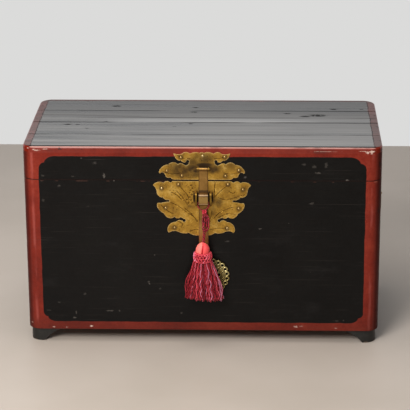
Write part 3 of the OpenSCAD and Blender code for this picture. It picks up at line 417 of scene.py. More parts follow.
def lacquer():
    """Red and black lacquer of the boards and rails, with bare wood on their inner sides."""
    s = Shader("lacquer")
    wave = s.times(s.minus(s.noise(24, 2), 0.5), 0.004)
    low = s.plus(s.minus(s.z, PANEL_LOW), wave)
    high = s.plus(s.minus(PANEL_HIGH, s.z), wave)
    y = s.minus(s.y, MID_Y)
    front = lobed_panel(s, s.plus(s.x, wave), low, high, PANEL_FRONT)
    ends = lobed_panel(s, s.plus(y, wave), low, high, PANEL_END)
    on_front = s.math("LESS_THAN", s.y, FRONT_Y + 0.0004)
    on_end = s.math("GREATER_THAN", s.size(s.x), SIDE_X - 0.0004)
    panel = s.minus(s.most(s.times(on_front, s.plus(front, 1)), s.times(on_end, s.plus(ends, 1))), 1)
    paint, inside = red_and_black(s, panel)

    # The back is plain dark red, rubbed thin
    on_back = s.step(s.y, BACK_Y - 0.02, BACK_Y - 0.002)
    rubbed = s.step(s.plus(s.times(s.noise(1.0, 6, (7, 7, 46), 0.66), 0.7), s.times(s.noise(4, 3), 0.3)), 0.50, 0.64)
    back = s.mix(s.noise(60, 5, rough=0.6), rgb(66, 24, 17), rgb(94, 36, 25))
    paint = s.mix(on_back, paint, s.over(back, (112, 64, 42), rubbed, 0.8))

    # Worn edges, darker towards the foot, painted shade on the front corners with a painted highlight streak, and
    # chips
    to_side = s.minus(SIDE_X, s.size(s.x))
    worn = s.times(s.step(to_side, 0.016, 0.002), s.step(s.noise(60, 5, (1, 1, 0.5), 0.65), 0.56, 0.66))
    paint = s.over(paint, (34, 16, 13), worn, 0.75)
    # Darker towards the foot, on the red only
    darker_low = s.times(s.step(s.z, 0.085, 0.034, 0.0, 0.38), s.step(inside, 1.0, 0.0))
    paint = s.over(paint, (58, 28, 22), darker_low)
    # Painted shade: the front corners darkened where they turn away from the light
    turned = s.times(s.step(to_side, 0.019, 0.006), s.step(s.y, FRONT_Y + 0.042, FRONT_Y + 0.030))
    paint = s.over(paint, (60, 13, 9), turned, 0.78)
    # Painted highlight: a pale streak down each rounded front corner
    streak = s.band(s.plus(to_side, wave), 0.0235, 0.0050, 0.0010)
    streak = s.times(streak, s.step(s.noise(30, 4, (1, 1, 0.3), 0.6), 0.40, 0.62), 0.35)
    paint = s.over(paint, (176, 92, 84), streak)
    paint, chip = chipped(s, paint)

    # The seam of the lid: dark above, a rubbed line below it
    height = s.plus(s.z, s.times(wave, 0.2))
    paint = s.over(paint, (26, 12, 10), s.band(height, SEAM_Z, 0.0020, 0.0006), 0.75)
    rubbed = s.times(s.band(height, SEAM_Z - 0.0032, 0.0013, 0.0004), s.minus(1.0, on_back),
                     s.step(s.noise(40, 3, (1, 1, 0.2)), 0.54, 0.62))
    paint = s.over(paint, (170, 112, 94), rubbed, s.step(inside, 0.0, 1.0, 0.6, 0.12))

    # Small pale scuffs and hair lines in the black
    scuff = s.step(s.cells(26, (1, 1, 1.3)), 0.05, 0.02)
    scuff = s.times(scuff, s.step(s.noise(14, 2), 0.54, 0.6), inside, 0.6)
    scuff = s.times(s.most(scuff, marks(s, SCUFFS)), 0.29)
    paint = s.over(paint, (160, 152, 143), scuff)
    haze = s.times(s.step(s.noise(13, 5, (1, 1, 2.2), 0.65), 0.55, 0.75), inside)
    paint = s.over(paint, (54, 52, 52), haze, 0.10)
    line = s.step(s.noise(1.0, 3, (6, 6, 900), 0.5), 0.66, 0.72)
    paint = s.over(paint, (92, 84, 78), line, 0.2)

    # Bare wood on the inner sides
    within = s.step(s.plus(inward(s, s.x, y), s.times(s.noise(70, 3), 0.004)), 0.0085, 0.0095)
    wood, grain = wood_colours(s, (0.5, 0.5, 9), *INNER_WOOD)
    paint = s.mix(within, paint, wood)

    ripple = s.noise(1.0, 4, (5, 5, 130), 0.55)
    hill = s.bump(ripple, 0.0006, 0.55, s.bump(s.noise(420, 3), 0.00008, 0.5))
    hill = s.bump(inside, 0.0004, 0.5, hill)
    hill = s.bump(s.times(s.plus(chip, scuff), -1.0), 0.0005, 0.8, hill)
    hill = s.bump(s.times(grain, within), 0.0006, 0.7, hill)
    rough = s.step(s.noise(18, 5, (1, 1, 2), 0.6), 0.3, 0.7, 0.3, 0.46)
    rough = s.most(rough, s.times(within, 0.72), s.times(chip, 0.8))
    sheen = s.least(s.step(inside, 0.0, 1.0, 0.20, 0.17), s.step(turned, 0, 1, 0.28, 0.06))
    return s.finish(Base_Color=paint, Roughness=rough, Normal=hill, Specular_IOR_Level=sheen)


def wood_colours(s, stretch, dark, light):
    """A grain along the axis with the least stretch: its colour and its height."""
    grain = s.noise(22, 6, stretch, 0.6, 0.4)
    fine = s.noise(150, 3, stretch, 0.6)
    mixed = s.plus(s.times(grain, 0.65), s.times(fine, 0.35))
    return s.ramp(mixed, (0.34, dark), (0.62, light)), mixed


def top_lacquer():
    """Black lacquer of the lid's planks, dusty and streaked along the grain, in a narrow red border."""
    s = Shader("top_lacquer")
    wave = s.times(s.minus(s.noise(22, 2), 0.5), 0.005)
    to_side = s.minus(SIDE_X, s.size(s.x))
    to_back = s.minus(BACK_Y, s.y)
    to_front = s.minus(s.y, FRONT_Y)
    ragged = s.times(s.minus(s.noise(90, 3, rough=0.6), 0.5), 0.005)
    panel = s.least(s.minus(s.plus(to_side, wave, ragged), 0.021),
                    s.minus(s.plus(to_back, s.times(wave, 2.0)), 0.016),
                    s.minus(to_front, 0.0035))
    paint, inside = red_and_black(s, panel)

    # Dust and wear in streaks along the grain, paler towards the front as a painted reflection
    streak = s.noise(1.0, 6, (2.2, 88, 1), 0.62, 0.25)
    broad = s.noise(1.0, 3, (1.1, 20, 1), 0.5, 0.6)
    fine = s.noise(1.0, 4, (4.0, 320, 1), 0.6, 0.1)
    mixed = s.plus(s.times(streak, 0.45), s.times(broad, 0.35), s.times(fine, 0.2))
    dust_and_sheen = s.step(mixed, 0.38, 0.60)
    paint = s.over(paint, (112, 110, 108), dust_and_sheen, inside, s.step(to_front, 0.05, 0.40, 0.75, 0.35))
    # Painted reflection: the red border on the top greyed in streaks along the grain
    grey = s.times(s.step(inside, 1.0, 0.0), s.step(s.z, TOP_Z - 0.0015, TOP_Z - 0.0003))
    paint = s.over(paint, (64, 46, 42), grey, s.step(mixed, 0.42, 0.56, 0.66, 0.86))

    # A worn dark line round the panel
    outline = s.times(s.band(panel, -0.0012, 0.0019, 0.0007), s.step(to_front, 0.005, 0.008),
                      s.step(s.noise(45, 4, rough=0.6), 0.36, 0.52, 0.2, 0.9))
    paint = s.over(paint, (26, 18, 18), outline)

    # A painted dark reflection behind the front edge, and the edge itself, rubbed pale with a painted highlight
    on_top = s.step(s.z, TOP_Z - 0.0045, TOP_Z - 0.0015)
    behind = s.times(s.step(to_front, 0.0042, 0.0050), s.step(to_front, 0.0150, 0.0125))
    paint = s.over(paint, (16, 13, 13), behind, s.step(to_side, 0.016, 0.024), 0.9)
    edge_wear_and_highlight = s.times(s.step(to_front, 0.0052, 0.0040), s.step(s.z, TOP_Z - 0.0032, TOP_Z - 0.0016))
    edge_wear_and_highlight = s.times(edge_wear_and_highlight, s.step(s.noise(26, 4), 0.30, 0.48, 0.45, 1.0))
    paint = s.over(paint, (192, 146, 138), edge_wear_and_highlight, 0.72)

    # Joints of the planks, and a painted reflection: the bright band behind the middle one
    wandered = s.plus(s.y, s.times(wave, 0.5))
    joints = s.most(*[s.band(wandered, place, reach * 2.2, reach * 0.6) for place, reach in TOP_JOINTS])
    joints = s.times(joints, on_top, s.step(s.noise(1.0, 3, (5, 30, 1), 0.5, 0.3), 0.36, 0.56, 0.25, 1.0))
    bright = s.times(s.band(s.y, 0.020, 0.021, 0.011), s.step(s.x, -0.34, -0.12),
                     s.step(s.x, 0.34, 0.10, 0.35, 1.0), inside, s.step(mixed, 0.40, 0.54, 0.7, 1.0))
    paint = s.over(paint, (150, 148, 146), bright, 0.30)
    paint = s.over(paint, (12, 10, 10), joints, 0.9)

    # A shallow check that wanders along the third plank, the duller plank behind it, and the knots
    route = s.plus(s.step(s.x, -0.42, 0.02, 0.067, 0.043), s.times(wave, 0.4))
    check = s.times(s.band(s.y, route, 0.0024, 0.0008), s.step(s.x, 0.14, -0.02),
                    s.step(s.noise(14, 3, (1, 0.1, 1)), 0.34, 0.52, 0.3, 1.0), inside)
    paint = s.over(paint, (46, 38, 34), check, 0.8)
    dull = s.band(s.y, 0.077, 0.036, 0.018)
    found = []
    for x, y, long in KNOTS:
        off = s.vector("MULTIPLY", s.vector("SUBTRACT", s.at, (x, y, TOP_Z)), (1 / long, 2.2 / long, 0))
        found.append(s.step(s.length(off), 1.2, 0.3))
    knots = s.times(s.most(*found), s.step(s.noise(140, 3), 0.25, 0.5))
    paint = s.over(paint, (12, 10, 9), knots, 0.95)

    # Chips at the corners and along the sides
    worn = s.times(s.step(to_side, 0.022, 0.004), s.step(s.noise(55, 5, rough=0.65), 0.58, 0.66))
    paint = s.over(paint, (36, 20, 17), worn, 0.8)
    paint, _ = chipped(s, paint)

    # Bare wood below, and how much each place shines
    under = s.step(s.z, TOP_Z - 0.0085, TOP_Z - 0.0095)
    under = s.times(under, s.step(inward(s, s.x, s.minus(s.y, MID_Y)), 0.008, 0.009))
    wood, grain = wood_colours(s, (0.5, 9, 9), *INNER_WOOD)
    paint = s.mix(under, paint, wood)
    sheen = s.times(s.step(to_front, 0.03, 0.42, 0.64, 0.26), s.step(mixed, 0.38, 0.60, 0.60, 1.22))
    for value, much in ((s.minus(1.0, inside), 0.4), (s.most(behind, edge_wear_and_highlight), 0.04), (bright, 1.75),
                        (s.most(joints, knots), 0.15), (s.times(dull, inside), 0.80), (s.most(check, outline), 0.3)):
        sheen = s.times(sheen, s.step(value, 0.0, 1.0, 1.0, much))
    rough = s.step(dust_and_sheen, 0.0, 1.0, 0.27, 0.42)
    rough = s.most(rough, s.times(under, 0.72), s.times(knots, 0.6), s.times(joints, 0.7))
    hill = s.bump(streak, 0.0011, 0.7, s.bump(s.noise(420, 3), 0.00008, 0.5))
    hill = s.bump(s.times(s.most(knots, joints), -1.0), 0.0010, 0.8, hill)
    hill = s.bump(s.times(grain, under), 0.0006, 0.7, hill)
    return s.finish(Base_Color=paint, Roughness=rough, Normal=hill, Specular_IOR_Level=sheen,
                    Coat_Weight=s.times(sheen, 0.4), Coat_Roughness=0.3)


def brass(name, age=0.5, tones=GOLDEN, marked=False, dark_sides=False):
    """Worn brass: light where it is rubbed, brown where it is not. Age goes from 0 to 1."""
    s = Shader(name)
    cloud = s.noise(34, 5, rough=0.62)
    fine = s.noise(300, 4, rough=0.7)
    mixed = s.plus(s.times(cloud, 0.8), s.times(fine, 0.2), (age - 0.5) * -0.45)
    paint = s.ramp(mixed, *zip((0.26, 0.42, 0.58, 0.76), tones))
    if dark_sides:
        sides = s.step(s.size(s.minus(s.x, HASP_X)), 0.0080, 0.0115, 0.0, 0.7)
        paint = s.over(paint, (66, 40, 18), sides)
        # Painted shadows and highlights across the strap
        for middle, reach, much, tone in STRAP_BANDS:
            paint = s.over(paint, tone, s.band(s.z, middle, reach, reach * 0.6, much))
    spots = s.step(s.noise(130, 3, rough=0.6), 0.66, 0.72)
    paint = s.over(paint, (70, 42, 18), spots, 0.6)
    rough = s.step(mixed, 0.3, 0.65, 0.5, 0.38)
    hill = s.bump(fine, 0.00006, 0.5, s.bump(s.noise(46, 2), 0.0007, 0.5))
    if marked:
        engraved, stain_and_shade, rim = [s.value_of(name) for name in ("engraved", "stain_and_shade", "rim")]
        patchy_stain_and_shade = s.times(stain_and_shade, s.step(s.noise(60, 4), 0.25, 0.6, 0.6, 1.0))
        pits = s.times(s.step(s.noise(330, 2, rough=0.5), 0.60, 0.68), s.step(s.noise(45, 3), 0.40, 0.56))
        paint = s.over(paint, (74, 48, 18), pits, 0.75)
        specks = s.step(s.noise(170, 4, rough=0.7), 0.58, 0.66)
        paint = s.over(paint, (84, 56, 22), specks, 0.5)
        # Stains, and painted shadow that goes to near black where the strength is above 1
        paint = s.over(paint, (68, 51, 32), s.least(patchy_stain_and_shade, 1.0))
        paint = s.over(paint, (20, 15, 11), s.step(stain_and_shade, 1.0, 1.5))
        paint = s.over(paint, (72, 46, 18), engraved, 0.62)
        paint = s.over(paint, (232, 204, 140), rim, s.step(fine, 0.3, 0.6), 0.9)
        hill = s.bump(s.times(engraved, -1.0), 0.0008, 0.9, hill)
    return s.finish(Base_Color=paint, Metallic=0.85, Roughness=rough, Normal=hill)


def bare_wood():
    s = Shader("bare_wood")
    wood, grain = wood_colours(s, (0.5, 9, 9), (98, 64, 40), (146, 104, 68))
    rough = s.step(grain, 0.3, 0.7, 0.62, 0.78)
    return s.finish(Base_Color=wood, Roughness=rough, Normal=s.bump(grain, 0.0006, 0.7))


def foot_lacquer():
    s = Shader("foot_lacquer")
    cloud = s.noise(40, 5, rough=0.65)
    paint = s.ramp(cloud, (0.3, (11, 11, 10)), (0.55, (24, 23, 21)), (0.75, (44, 41, 37)))
    rubbed = s.step(s.plus(s.times(s.noise(110, 4), 0.5), s.times(s.step(s.z, 0.012, 0.0), 0.3)), 0.5, 0.6)
    paint = s.over(paint, (104, 86, 68), rubbed, 0.6)
    rough = s.step(cloud, 0.3, 0.7, 0.42, 0.62)
    hill = s.bump(s.noise(80, 4), 0.0008, 0.6)
    return s.finish(Base_Color=paint, Roughness=rough, Normal=hill)


def yarn(name, dark, middle, pale, tip):
    """Twisted yarn: tone is a strand's own shade, and lay is how far round its twist a point is."""
    s = Shader(name)
    tone = s.value_of("tone")
    lay = s.value_of("lay")
    hair = s.noise(900, 3, (1, 1, 0.25), 0.6)
    twist = s.math("SINE", lay)
    mixed = s.plus(s.times(tone, 0.75), s.times(hair, 0.25), s.times(twist, 0.07))
    paint = s.ramp(mixed, (0.16, dark), (0.42, middle), (0.76, pale), (0.95, tip))
    hill = s.bump(twist, 0.0003, 0.8, s.bump(hair, 0.0003, 0.8))
    return s.finish(Base_Color=paint, Roughness=0.72, Normal=hill, Sheen_Weight=0.22,
                    Sheen_Roughness=0.4, Sheen_Tint=rgb(*pale))


def show(name, data):
    """An object in the scene for a mesh, a light or a camera."""
    thing = bpy.data.objects.new(name, data)
    bpy.context.scene.collection.objects.link(thing)
    return thing


def piece_from(name, points, faces, material, body, slot, smooth=True, **values):
    """A mesh piece with its material and body, and one number a vertex for each named value. The slot is not used.
    """
    mesh = bpy.data.meshes.new(name)
    mesh.from_pydata([tuple(p) for p in points], [], faces)
    mesh.validate()
    mesh.polygons.foreach_set("use_smooth", [smooth] * len(mesh.polygons))
    for key, numbers in values.items():
        mesh.attributes.new(key, "FLOAT", "POINT").data.foreach_set("value", np.asarray(numbers, np.float32))
    mesh.materials.append(material)
    piece = show(name, mesh)
    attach(piece, body)
    return piece


class Build:
    """Points, faces and values of one piece, gathered from its tubes and shells."""

    def __init__(self):
        self.points, self.faces, self.tone, self.lay = [], [], [], []

    def rings(self, rings, tone, lay=None, closed=False):
        """Joins rings of equal size into a skin, with caps at its ends where it isn't closed."""
        first, size = len(self.points), len(rings[0])
        for i, ring in enumerate(rings):
            for j, point in enumerate(ring):
                self.points.append(point)
                self.tone.append(tone(i, j) if callable(tone) else tone)
                self.lay.append(lay(i, j) if lay else 0.0)
        for i in range(len(rings) - (0 if closed else 1)):
            a, b = first + i * size, first + (i + 1) % len(rings) * size
            for j in range(size):
                k = (j + 1) % size
                self.faces.append((a + j, a + k, b + k, b + j))
        if not closed:
            self.faces.append(tuple(first + j for j in reversed(range(size))))
            self.faces.append(tuple(first + (len(rings) - 1) * size + j for j in range(size)))

    def tube(self, path, radius, sides, tone, twist=0.0, lobes=0, closed=False):
        """A round or lobed tube along a path, its lobes wound round it twist times a metre."""
        path = [Vector(p) for p in path]
        count, angles = len(path), turns(sides)
        side, run, rings, runs = None, 0.0, [], []
        for i, place in enumerate(path):
            before = path[(i - 1) % count] if closed or i else place
            after = path[(i + 1) % count] if closed or i < count - 1 else place
            along = (after - before).normalized()
            if side is None:
                side = along.orthogonal().normalized()
            side = (side - along * side.dot(along)).normalized()
            up = along.cross(side)
            run += (place - path[i - 1]).length if i else 0.0
            runs.append(run)
            size = radius(i / (count - 1)) if callable(radius) else radius
            ring = []
            for turn in angles:
                wound = turn + run * twist * 2 * math.pi
                out = size * (1 - (0.2 * abs(math.sin(wound * lobes / 2)) if lobes else 0.0))
                ring.append(place + (side * math.cos(turn) + up * math.sin(turn)) * out)
            rings.append(ring)
        self.rings(rings, tone, lambda i, j: lobes * (angles[j] + runs[i] * twist * 2 * math.pi), closed)

    def piece(self, name, material, body, slot, stands_for=None):
        """The mesh piece, in the place of the solid that it stands for."""
        made = piece_from(name, self.points, self.faces, material, body, slot, tone=self.tone, lay=self.lay)
        if stands_for:
            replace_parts(made, stands_for)
        return made


def smoothed(points, steps):
    """A Catmull-Rom line through the points, in metres."""
    points = [Vector(p) * MM for p in points]
    line = []
    for i in range(len(points) - 1):
        a, b, c, d = points[max(i - 1, 0)], points[i], points[i + 1], points[min(i + 2, len(points) - 1)]
        for k in range(steps):
            t = k / steps
            line.append((b * 2 + (c - a) * t + (a * 2 - b * 5 + c * 4 - d) * t * t
                         + (b * 3 - a - c * 3 + d) * t ** 3) / 2)
    return line + [points[-1]]


CRIMSON = yarn("crimson_yarn", (70, 1, 12), (176, 10, 36), (240, 82, 98), (224, 160, 196))
CORAL = yarn("coral_yarn", (176, 16, 30), (240, 76, 80), (255, 140, 126), (255, 176, 160))


def cord(name, route, stands_for):
    """Twisted yarn along a route, drawn thin where it goes through the eye: its piece and its path."""
    made = Build()
    path = smoothed(route, CORD_STEPS)

    def radius(t):
        return CORD_WIDTH / 2 * (0.80 + 0.20 * min(1.0, max(0.0, (t - 0.22) / 0.08)))

    def tone(i, j):
        return 1.15 if (j * 5 + i * 3) % 23 < 2 else 0.04 + 0.34 * ((j + i // 2) % 6 < 2)

    made.tube(path, radius, 12, tone, CORD_TWIST, 3)
    return made.piece(name, CRIMSON, "tassel", "crimson_yarn", stands_for), path


def tassel_head():
    """A bulb wound over its top, with the groove where the cord was drawn down."""
    made = Build()
    low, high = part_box("tassel_head")
    middle, half = (low + high) / 2, (high - low) / 2
    angles, steps = turns(96), 32

    def winding(turn, t):
        return abs(math.sin(turn * 16 + t * 1.2))

    def off_groove(turn, t):
        bend = turn + math.pi / 2 - 0.18 + 0.25 * (1 - t)
        return math.atan2(math.sin(bend), math.cos(bend))

    def place(turn, t):
        rise = -1 + 2 * t
        wide = max((1 - max(0.0, (rise + 0.62) / 1.62) ** 1.9) ** 0.66, 0.06)
        out = wide * (1 - 0.03 * winding(turn, t)) * (1 - 0.20 * math.exp(-(off_groove(turn, t) / 0.10) ** 2))
        return (middle.x + half.x * out * math.cos(turn), middle.y + half.y * out * math.sin(turn),
                middle.z + half.z * rise)

    def tone(i, j):
        off = off_groove(angles[j], i / steps)
        side = 0.62 - 0.14 * math.tanh(off * 3)
        wound = 0.16 * winding(angles[j], i / steps) ** 3
        return side - wound - 0.75 * math.exp(-(off / 0.11) ** 2) + 0.05 * math.sin(j * 2.4)

    made.rings([[place(turn, i / steps) for turn in angles] for i in range(steps + 1)], tone)
    return made.piece("head_wound", CORAL, "tassel", "coral_yarn", "tassel_head")


def tassel_collar():
    """A band netted from twisted yarn, a little wider than it is deep."""
    random.seed(7)
    made = Build()
    low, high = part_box("tassel_collar")
    middle = (low + high) / 2
    wide, deep = (high.x - low.x) / 2 + 0.0016, (high.y - low.y) / 2
    yarns, yarn_r, twist = 17, 0.0014, 300

    def place(turn, t, out):
        # t goes from the foot, 0, to the top, 1
        swell = 0.93 + 0.07 * math.sin(math.pi * t * 1.05) - 0.10 * max(0.0, t - 0.85) / 0.15
        return Vector((middle.x + (wide * swell - yarn_r + out) * math.cos(turn),
                       middle.y + (deep * swell - yarn_r + out) * math.sin(turn),
                       low.z + 0.0012 + (high.z - low.z - 0.0024) * t))

    made.rings([[place(turn, i / 8, -0.0018) for turn in turns(64)] for i in range(9)], 0.2)
    for k in range(yarns):
        for way in (-1, 1):
            path = []
            for i in range(21):
                t = i / 20
                turn = 2 * math.pi * (k + way * 1.7 * t + 0.12 * math.sin(k * 5 + i)) / yarns
                path.append(place(turn, t, 0.0005 * math.sin(t * 11 + way * 1.6)))
            made.tube(path, yarn_r, 6, random.uniform(0.5, 1.0), twist, 2)
    for t, thick in ((0.04, 0.0014), (0.48, 0.0013), (0.9, 0.0016), (0.99, 0.0013)):
        path = [place(turn, t + 0.02 * math.sin(j * 0.9), 0.0004 * math.sin(j * 1.7))
                for j, turn in enumerate(turns(120))]
        made.tube(path, thick, 6, 0.66, twist, 2, closed=True)
    return made.piece("collar_netted", CRIMSON, "tassel", "crimson_yarn", "tassel_collar")


def tassel_skirt():
    """Loose, crimped strands of yarn that hang from the collar."""
    random.seed(11)
    made = Build()
    low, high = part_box("tassel_skirt")
    top = high.z + 0.003
    half_w, half_d = (high.x - low.x) / 2, (high.y - low.y) / 2
    lean = (low.x + high.x) / 2 - TASSEL_X
    neck_w, neck_d, steps, twist, golden_angle = 0.0225, 0.0165, 22, 240, 2.399963
    for k in range(STRANDS):
        ring = math.sqrt((k + 0.5) / STRANDS) ** 0.8
        turn = k * golden_angle + random.uniform(-0.2, 0.2)
        across, back = ring * math.cos(turn), ring * math.sin(turn)
        length = 1.0 + random.uniform(-0.05, 0.01) - 0.05 * max(0.0, -across)
        sway = random.uniform(0.5, 1.8) * 0.0014
        rate, phase = random.uniform(2.2, 5.0), random.uniform(0, 6.3)
        spread = random.uniform(0.75, 1.1)
        drift = random.uniform(-1, 1) * 0.0032
        path = []
        for i in range(steps + 1):
            t = i / steps
            wide = neck_w + (half_w * 0.97 - neck_w) * t ** spread
            deep = neck_d + (half_d * 0.88 - neck_d) * t
            x = TASSEL_X + lean * t + across * wide + drift * math.sin(math.pi * t)
            x += sway * math.sin(rate * 2 * math.pi * t + phase) * min(1, t * 2.5)
            y = TASSEL_Y + back * deep + sway * 0.6 * math.cos(rate * 2 * math.pi * t + phase) * min(1, t * 2.5)
            path.append((x, y, top - (top - low.z) * t * length))
        pick = random.random()
        if pick < 0.62:
            tone = random.uniform(0.12, 0.46)
        elif pick < 0.94:
            tone = random.uniform(0.5, 0.84)
        else:
            tone = random.uniform(0.95, 1.1)
        made.tube(path, lambda t: STRAND_R * (1 - 0.3 * t), 5, tone, twist, 2)
    for k, (reach, foot, tone) in enumerate(LOOSE_STRANDS):
        path = []
        start = math.copysign(0.020, reach)
        for i in range(steps + 1):
            t = i / steps
            bow = math.copysign(math.sin(math.pi * min(1.0, t * 1.08) ** 1.7), reach) * abs(reach) * 0.16
            x = TASSEL_X + start + (reach - start) * t ** 0.9 + bow
            x += 0.0012 * math.sin(9 * t + k * 2.1)
            y = TASSEL_Y - 0.004 + 0.003 * math.sin(5 * t + k * 1.7)
            path.append((x, y, top - (top - foot) * t))
        made.tube(path, lambda t: LOOSE_R * (1 - 0.3 * t), 5, tone, twist, 2)
    return made.piece("skirt_strands", CRIMSON, "tassel", "crimson_yarn", "tassel_skirt")


def tassel_knot():
    """The knot: a ball with the cord wound three ways round it."""
    made = Build()
    low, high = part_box("tassel_knot")
    middle, radius = (low + high) / 2, (high.z - low.z) / 2
    ball = []
    for i in range(13):
        a = math.pi * (i / 12 - 0.5)
        ball.append([middle + Vector((math.cos(a) * math.cos(b), math.cos(a) * math.sin(b), math.sin(a)))
                     * radius * 0.72 for b in turns(20)])
    made.rings(ball, 0.3)
    for tilt, swing, tone in ((0.5, 0.2, 0.42), (-0.6, 0.5, 0.62), (1.25, 0.0, 0.36)):
        turn = Matrix.Rotation(tilt, 3, "Y") @ Matrix.Rotation(swing, 3, "X")
        path = [middle + turn @ Vector((math.cos(b), math.sin(b), 0)) * (radius - CORD_WIDTH / 2)
                for b in turns(40)]
        made.tube(path, CORD_WIDTH / 2, 10, tone, CORD_TWIST, 3, closed=True)
    for strand in KNOT_STRANDS:
        made.tube(smoothed(strand, CORD_STEPS), CORD_WIDTH * 0.46, 10,
                  lambda i, j: 0.06 + 0.34 * ((j + i // 2) % 5 < 2), CORD_TWIST, 3)
    return made.piece("knot_wound", CRIMSON, "tassel", "crimson_yarn", "tassel_knot")


def make_tassel():
    head, collar, skirt, knot = tassel_head(), tassel_collar(), tassel_skirt(), tassel_knot()
    for name, route, node, far_end, others in (
            ("cord_drop", CORD_ROUTE + CORD_INNER, "tassel_cord", "fitting", [head, collar, skirt]),
            ("cord_loop", LOOP_ROUTE, "tassel_cord_loop", "knot", [knot])):
        piece, line = cord(name, route, node)
        tuple(c * MM for c in route[0])
        sum((b - a).length for a, b in zip(line, line[1:]))
        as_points(line)
        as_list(others)


def to_line(points, line):
    """Distance of each point to a line of points, all in x and z."""
    best = np.full(len(points), 9.0)
    for a, b in zip(line, line[1:]):
        along = b - a
        share = np.clip((points - a) @ along / max(along @ along, 1e-12), 0, 1)
        best = np.minimum(best, np.linalg.norm(points - a - share[:, None] * along, axis=1))
    return best


def outer_outline(mesh):
    """The outer edge of a plate's front face, as x and z in order."""
    # An edge that is met one way only is on the outline
    edges = {}
    for face in mesh.polygons:
        if face.normal.y < -0.9 and face.center.y < PLATE_Y + 0.0003:
            ring = [tuple(round(c, 6) for c in mesh.vertices[i].co) for i in face.vertices]
            edges.update(dict.fromkeys(zip(ring, ring[1:] + ring[:1])))
    after = {a: b for a, b in edges if (b, a) not in edges}
    loops = []
    while after:
        start, at = next(iter(after.items()))
        del after[start]
        loop = [start]
        while at in after:
            loop.append(at)
            at = after.pop(at)
        loops.append(np.array([(x, z) for x, y, z in loop]))
    return sorted(loops, key=lambda loop: -np.ptp(loop[:, 0]))


def flat_line(line, steps):
    """A smooth line of the engraving, as x and z in metres."""
    return np.array([tuple(p) for p in smoothed([(x, z, 0) for x, z in line], steps)])[:, :2]


def engraved_plate(node, body):
    """The skin of a lock plate, with its lines, its dark patches of stain and painted shadow, and its worn rim."""
    loops = outer_outline(NODES[node].data)
    edge = [loop for loop in loops if np.ptp(loop[:, 0]) > 0.006]
    closed = [np.vstack([loop, loop[:1]]) for loop in edge]
    low, high = edge[0].min(0), edge[0].max(0)

    rows = np.arange(low[1], high[1], PLATE_GRID * 0.87)
    spots = [(x + (k % 2) * PLATE_GRID / 2, z) for k, z in enumerate(rows)
             for x in np.arange(low[0], high[0], PLATE_GRID)]
    for line in VEINS:
        line = flat_line(line, 12)
        for a, b in zip(line, line[1:]):
            across = np.array([a[1] - b[1], b[0] - a[0]]) / max(np.linalg.norm(b - a), 1e-9)
            spots += [a, a + across * 0.0009, a - across * 0.0009]
    for x, z in PUNCHES:
        for r in (PUNCH_R - 0.0008, PUNCH_R, PUNCH_R + 0.0008):
            spots += [(x * MM + r * math.cos(k * 0.7), z * MM + r * math.sin(k * 0.7)) for k in range(9)]
    spots = np.array(spots)

    inside = np.zeros(len(spots), bool)
    rim = np.full(len(spots), 9.0)
    for loop in closed:
        for a, b in zip(loop, loop[1:]):
            if a[1] != b[1]:
                crosses = (a[1] > spots[:, 1]) != (b[1] > spots[:, 1])
                inside ^= crosses & (spots[:, 0] < a[0] + (spots[:, 1] - a[1]) * (b[0] - a[0]) / (b[1] - a[1]))
        rim = np.minimum(rim, to_line(spots, loop))
    spots = spots[inside & (rim > 0.0006)]

    given, pairs = [], []
    for loop in edge:
        first = len(given)
        given += [tuple(p) for p in loop]
        pairs += [(first + k, first + (k + 1) % len(loop)) for k in range(len(loop))]
    given += [tuple(p) for p in spots]
    found, _, faces, _, _, _ = delaunay_2d_cdt([Vector(p) for p in given], pairs, [], 1, 1e-7)
    flat = np.array([tuple(p) for p in found])

    rim = np.min([to_line(flat, loop) for loop in closed], axis=0)
    cut = np.min([to_line(flat, flat_line(line, 6)) for line in VEINS], axis=0)
    engraved = np.clip(1.2 - cut / 0.0007, 0, 1)
    for x, z in PUNCHES:
        ring = np.abs(np.linalg.norm(flat - (x * MM, z * MM), axis=1) - PUNCH_R)
        engraved = np.maximum(engraved, np.clip(1.2 - ring / 0.0008, 0, 1))
    stain_and_shade = np.zeros(len(flat))
    for x, z, wide, tall, much in STAINS_AND_SHADOWS + [(x, z, *NAIL_SHADE) for x, z in NAILS]:
        off = ((flat[:, 0] / MM - x) / wide) ** 2 + ((flat[:, 1] / MM - z) / tall) ** 2
        stain_and_shade = np.maximum(stain_and_shade, much * np.exp(-off ** 1.5 * 0.7))
    swell = PLATE_SWELL * np.clip(rim / 0.003, 0, 1) ** 0.5 - CUT_DEPTH * engraved
    points = [(x, PLATE_Y - rise, z) for (x, z), rise in zip(flat, swell)]
    faces = [tuple(f) for f in faces]
    normal = sum((Vector(points[f[1]]) - Vector(points[f[0]])).cross(Vector(points[f[2]]) - Vector(points[f[0]])).y
                 for f in faces[:50])
    if normal > 0:
        faces = [tuple(reversed(f)) for f in faces]

    # The edge of the sheet, back to the boards
    values = {"rim": np.exp(-(rim / 0.0009) ** 2), "engraved": engraved, "stain_and_shade": stain_and_shade}
    for loop in edge:
        first = len(points)
        for y in (PLATE_Y, FRONT_Y):
            points += [(x, y, z) for x, z in loop]
        size = len(loop)
        faces += [(first + k, first + size + k, first + size + (k + 1) % size, first + (k + 1) % size)
                  for k in range(size)]
    extra = len(points) - len(flat)
    values = {k: np.concatenate([v, np.full(extra, 0.7 if k == "rim" else 0.0)]) for k, v in values.items()}
    material = brass(node + "_brass", 0.40, GILDED, marked=True)
    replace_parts(piece_from(node + "_skin", points, faces, material, body, "brass", smooth=False, **values), node)


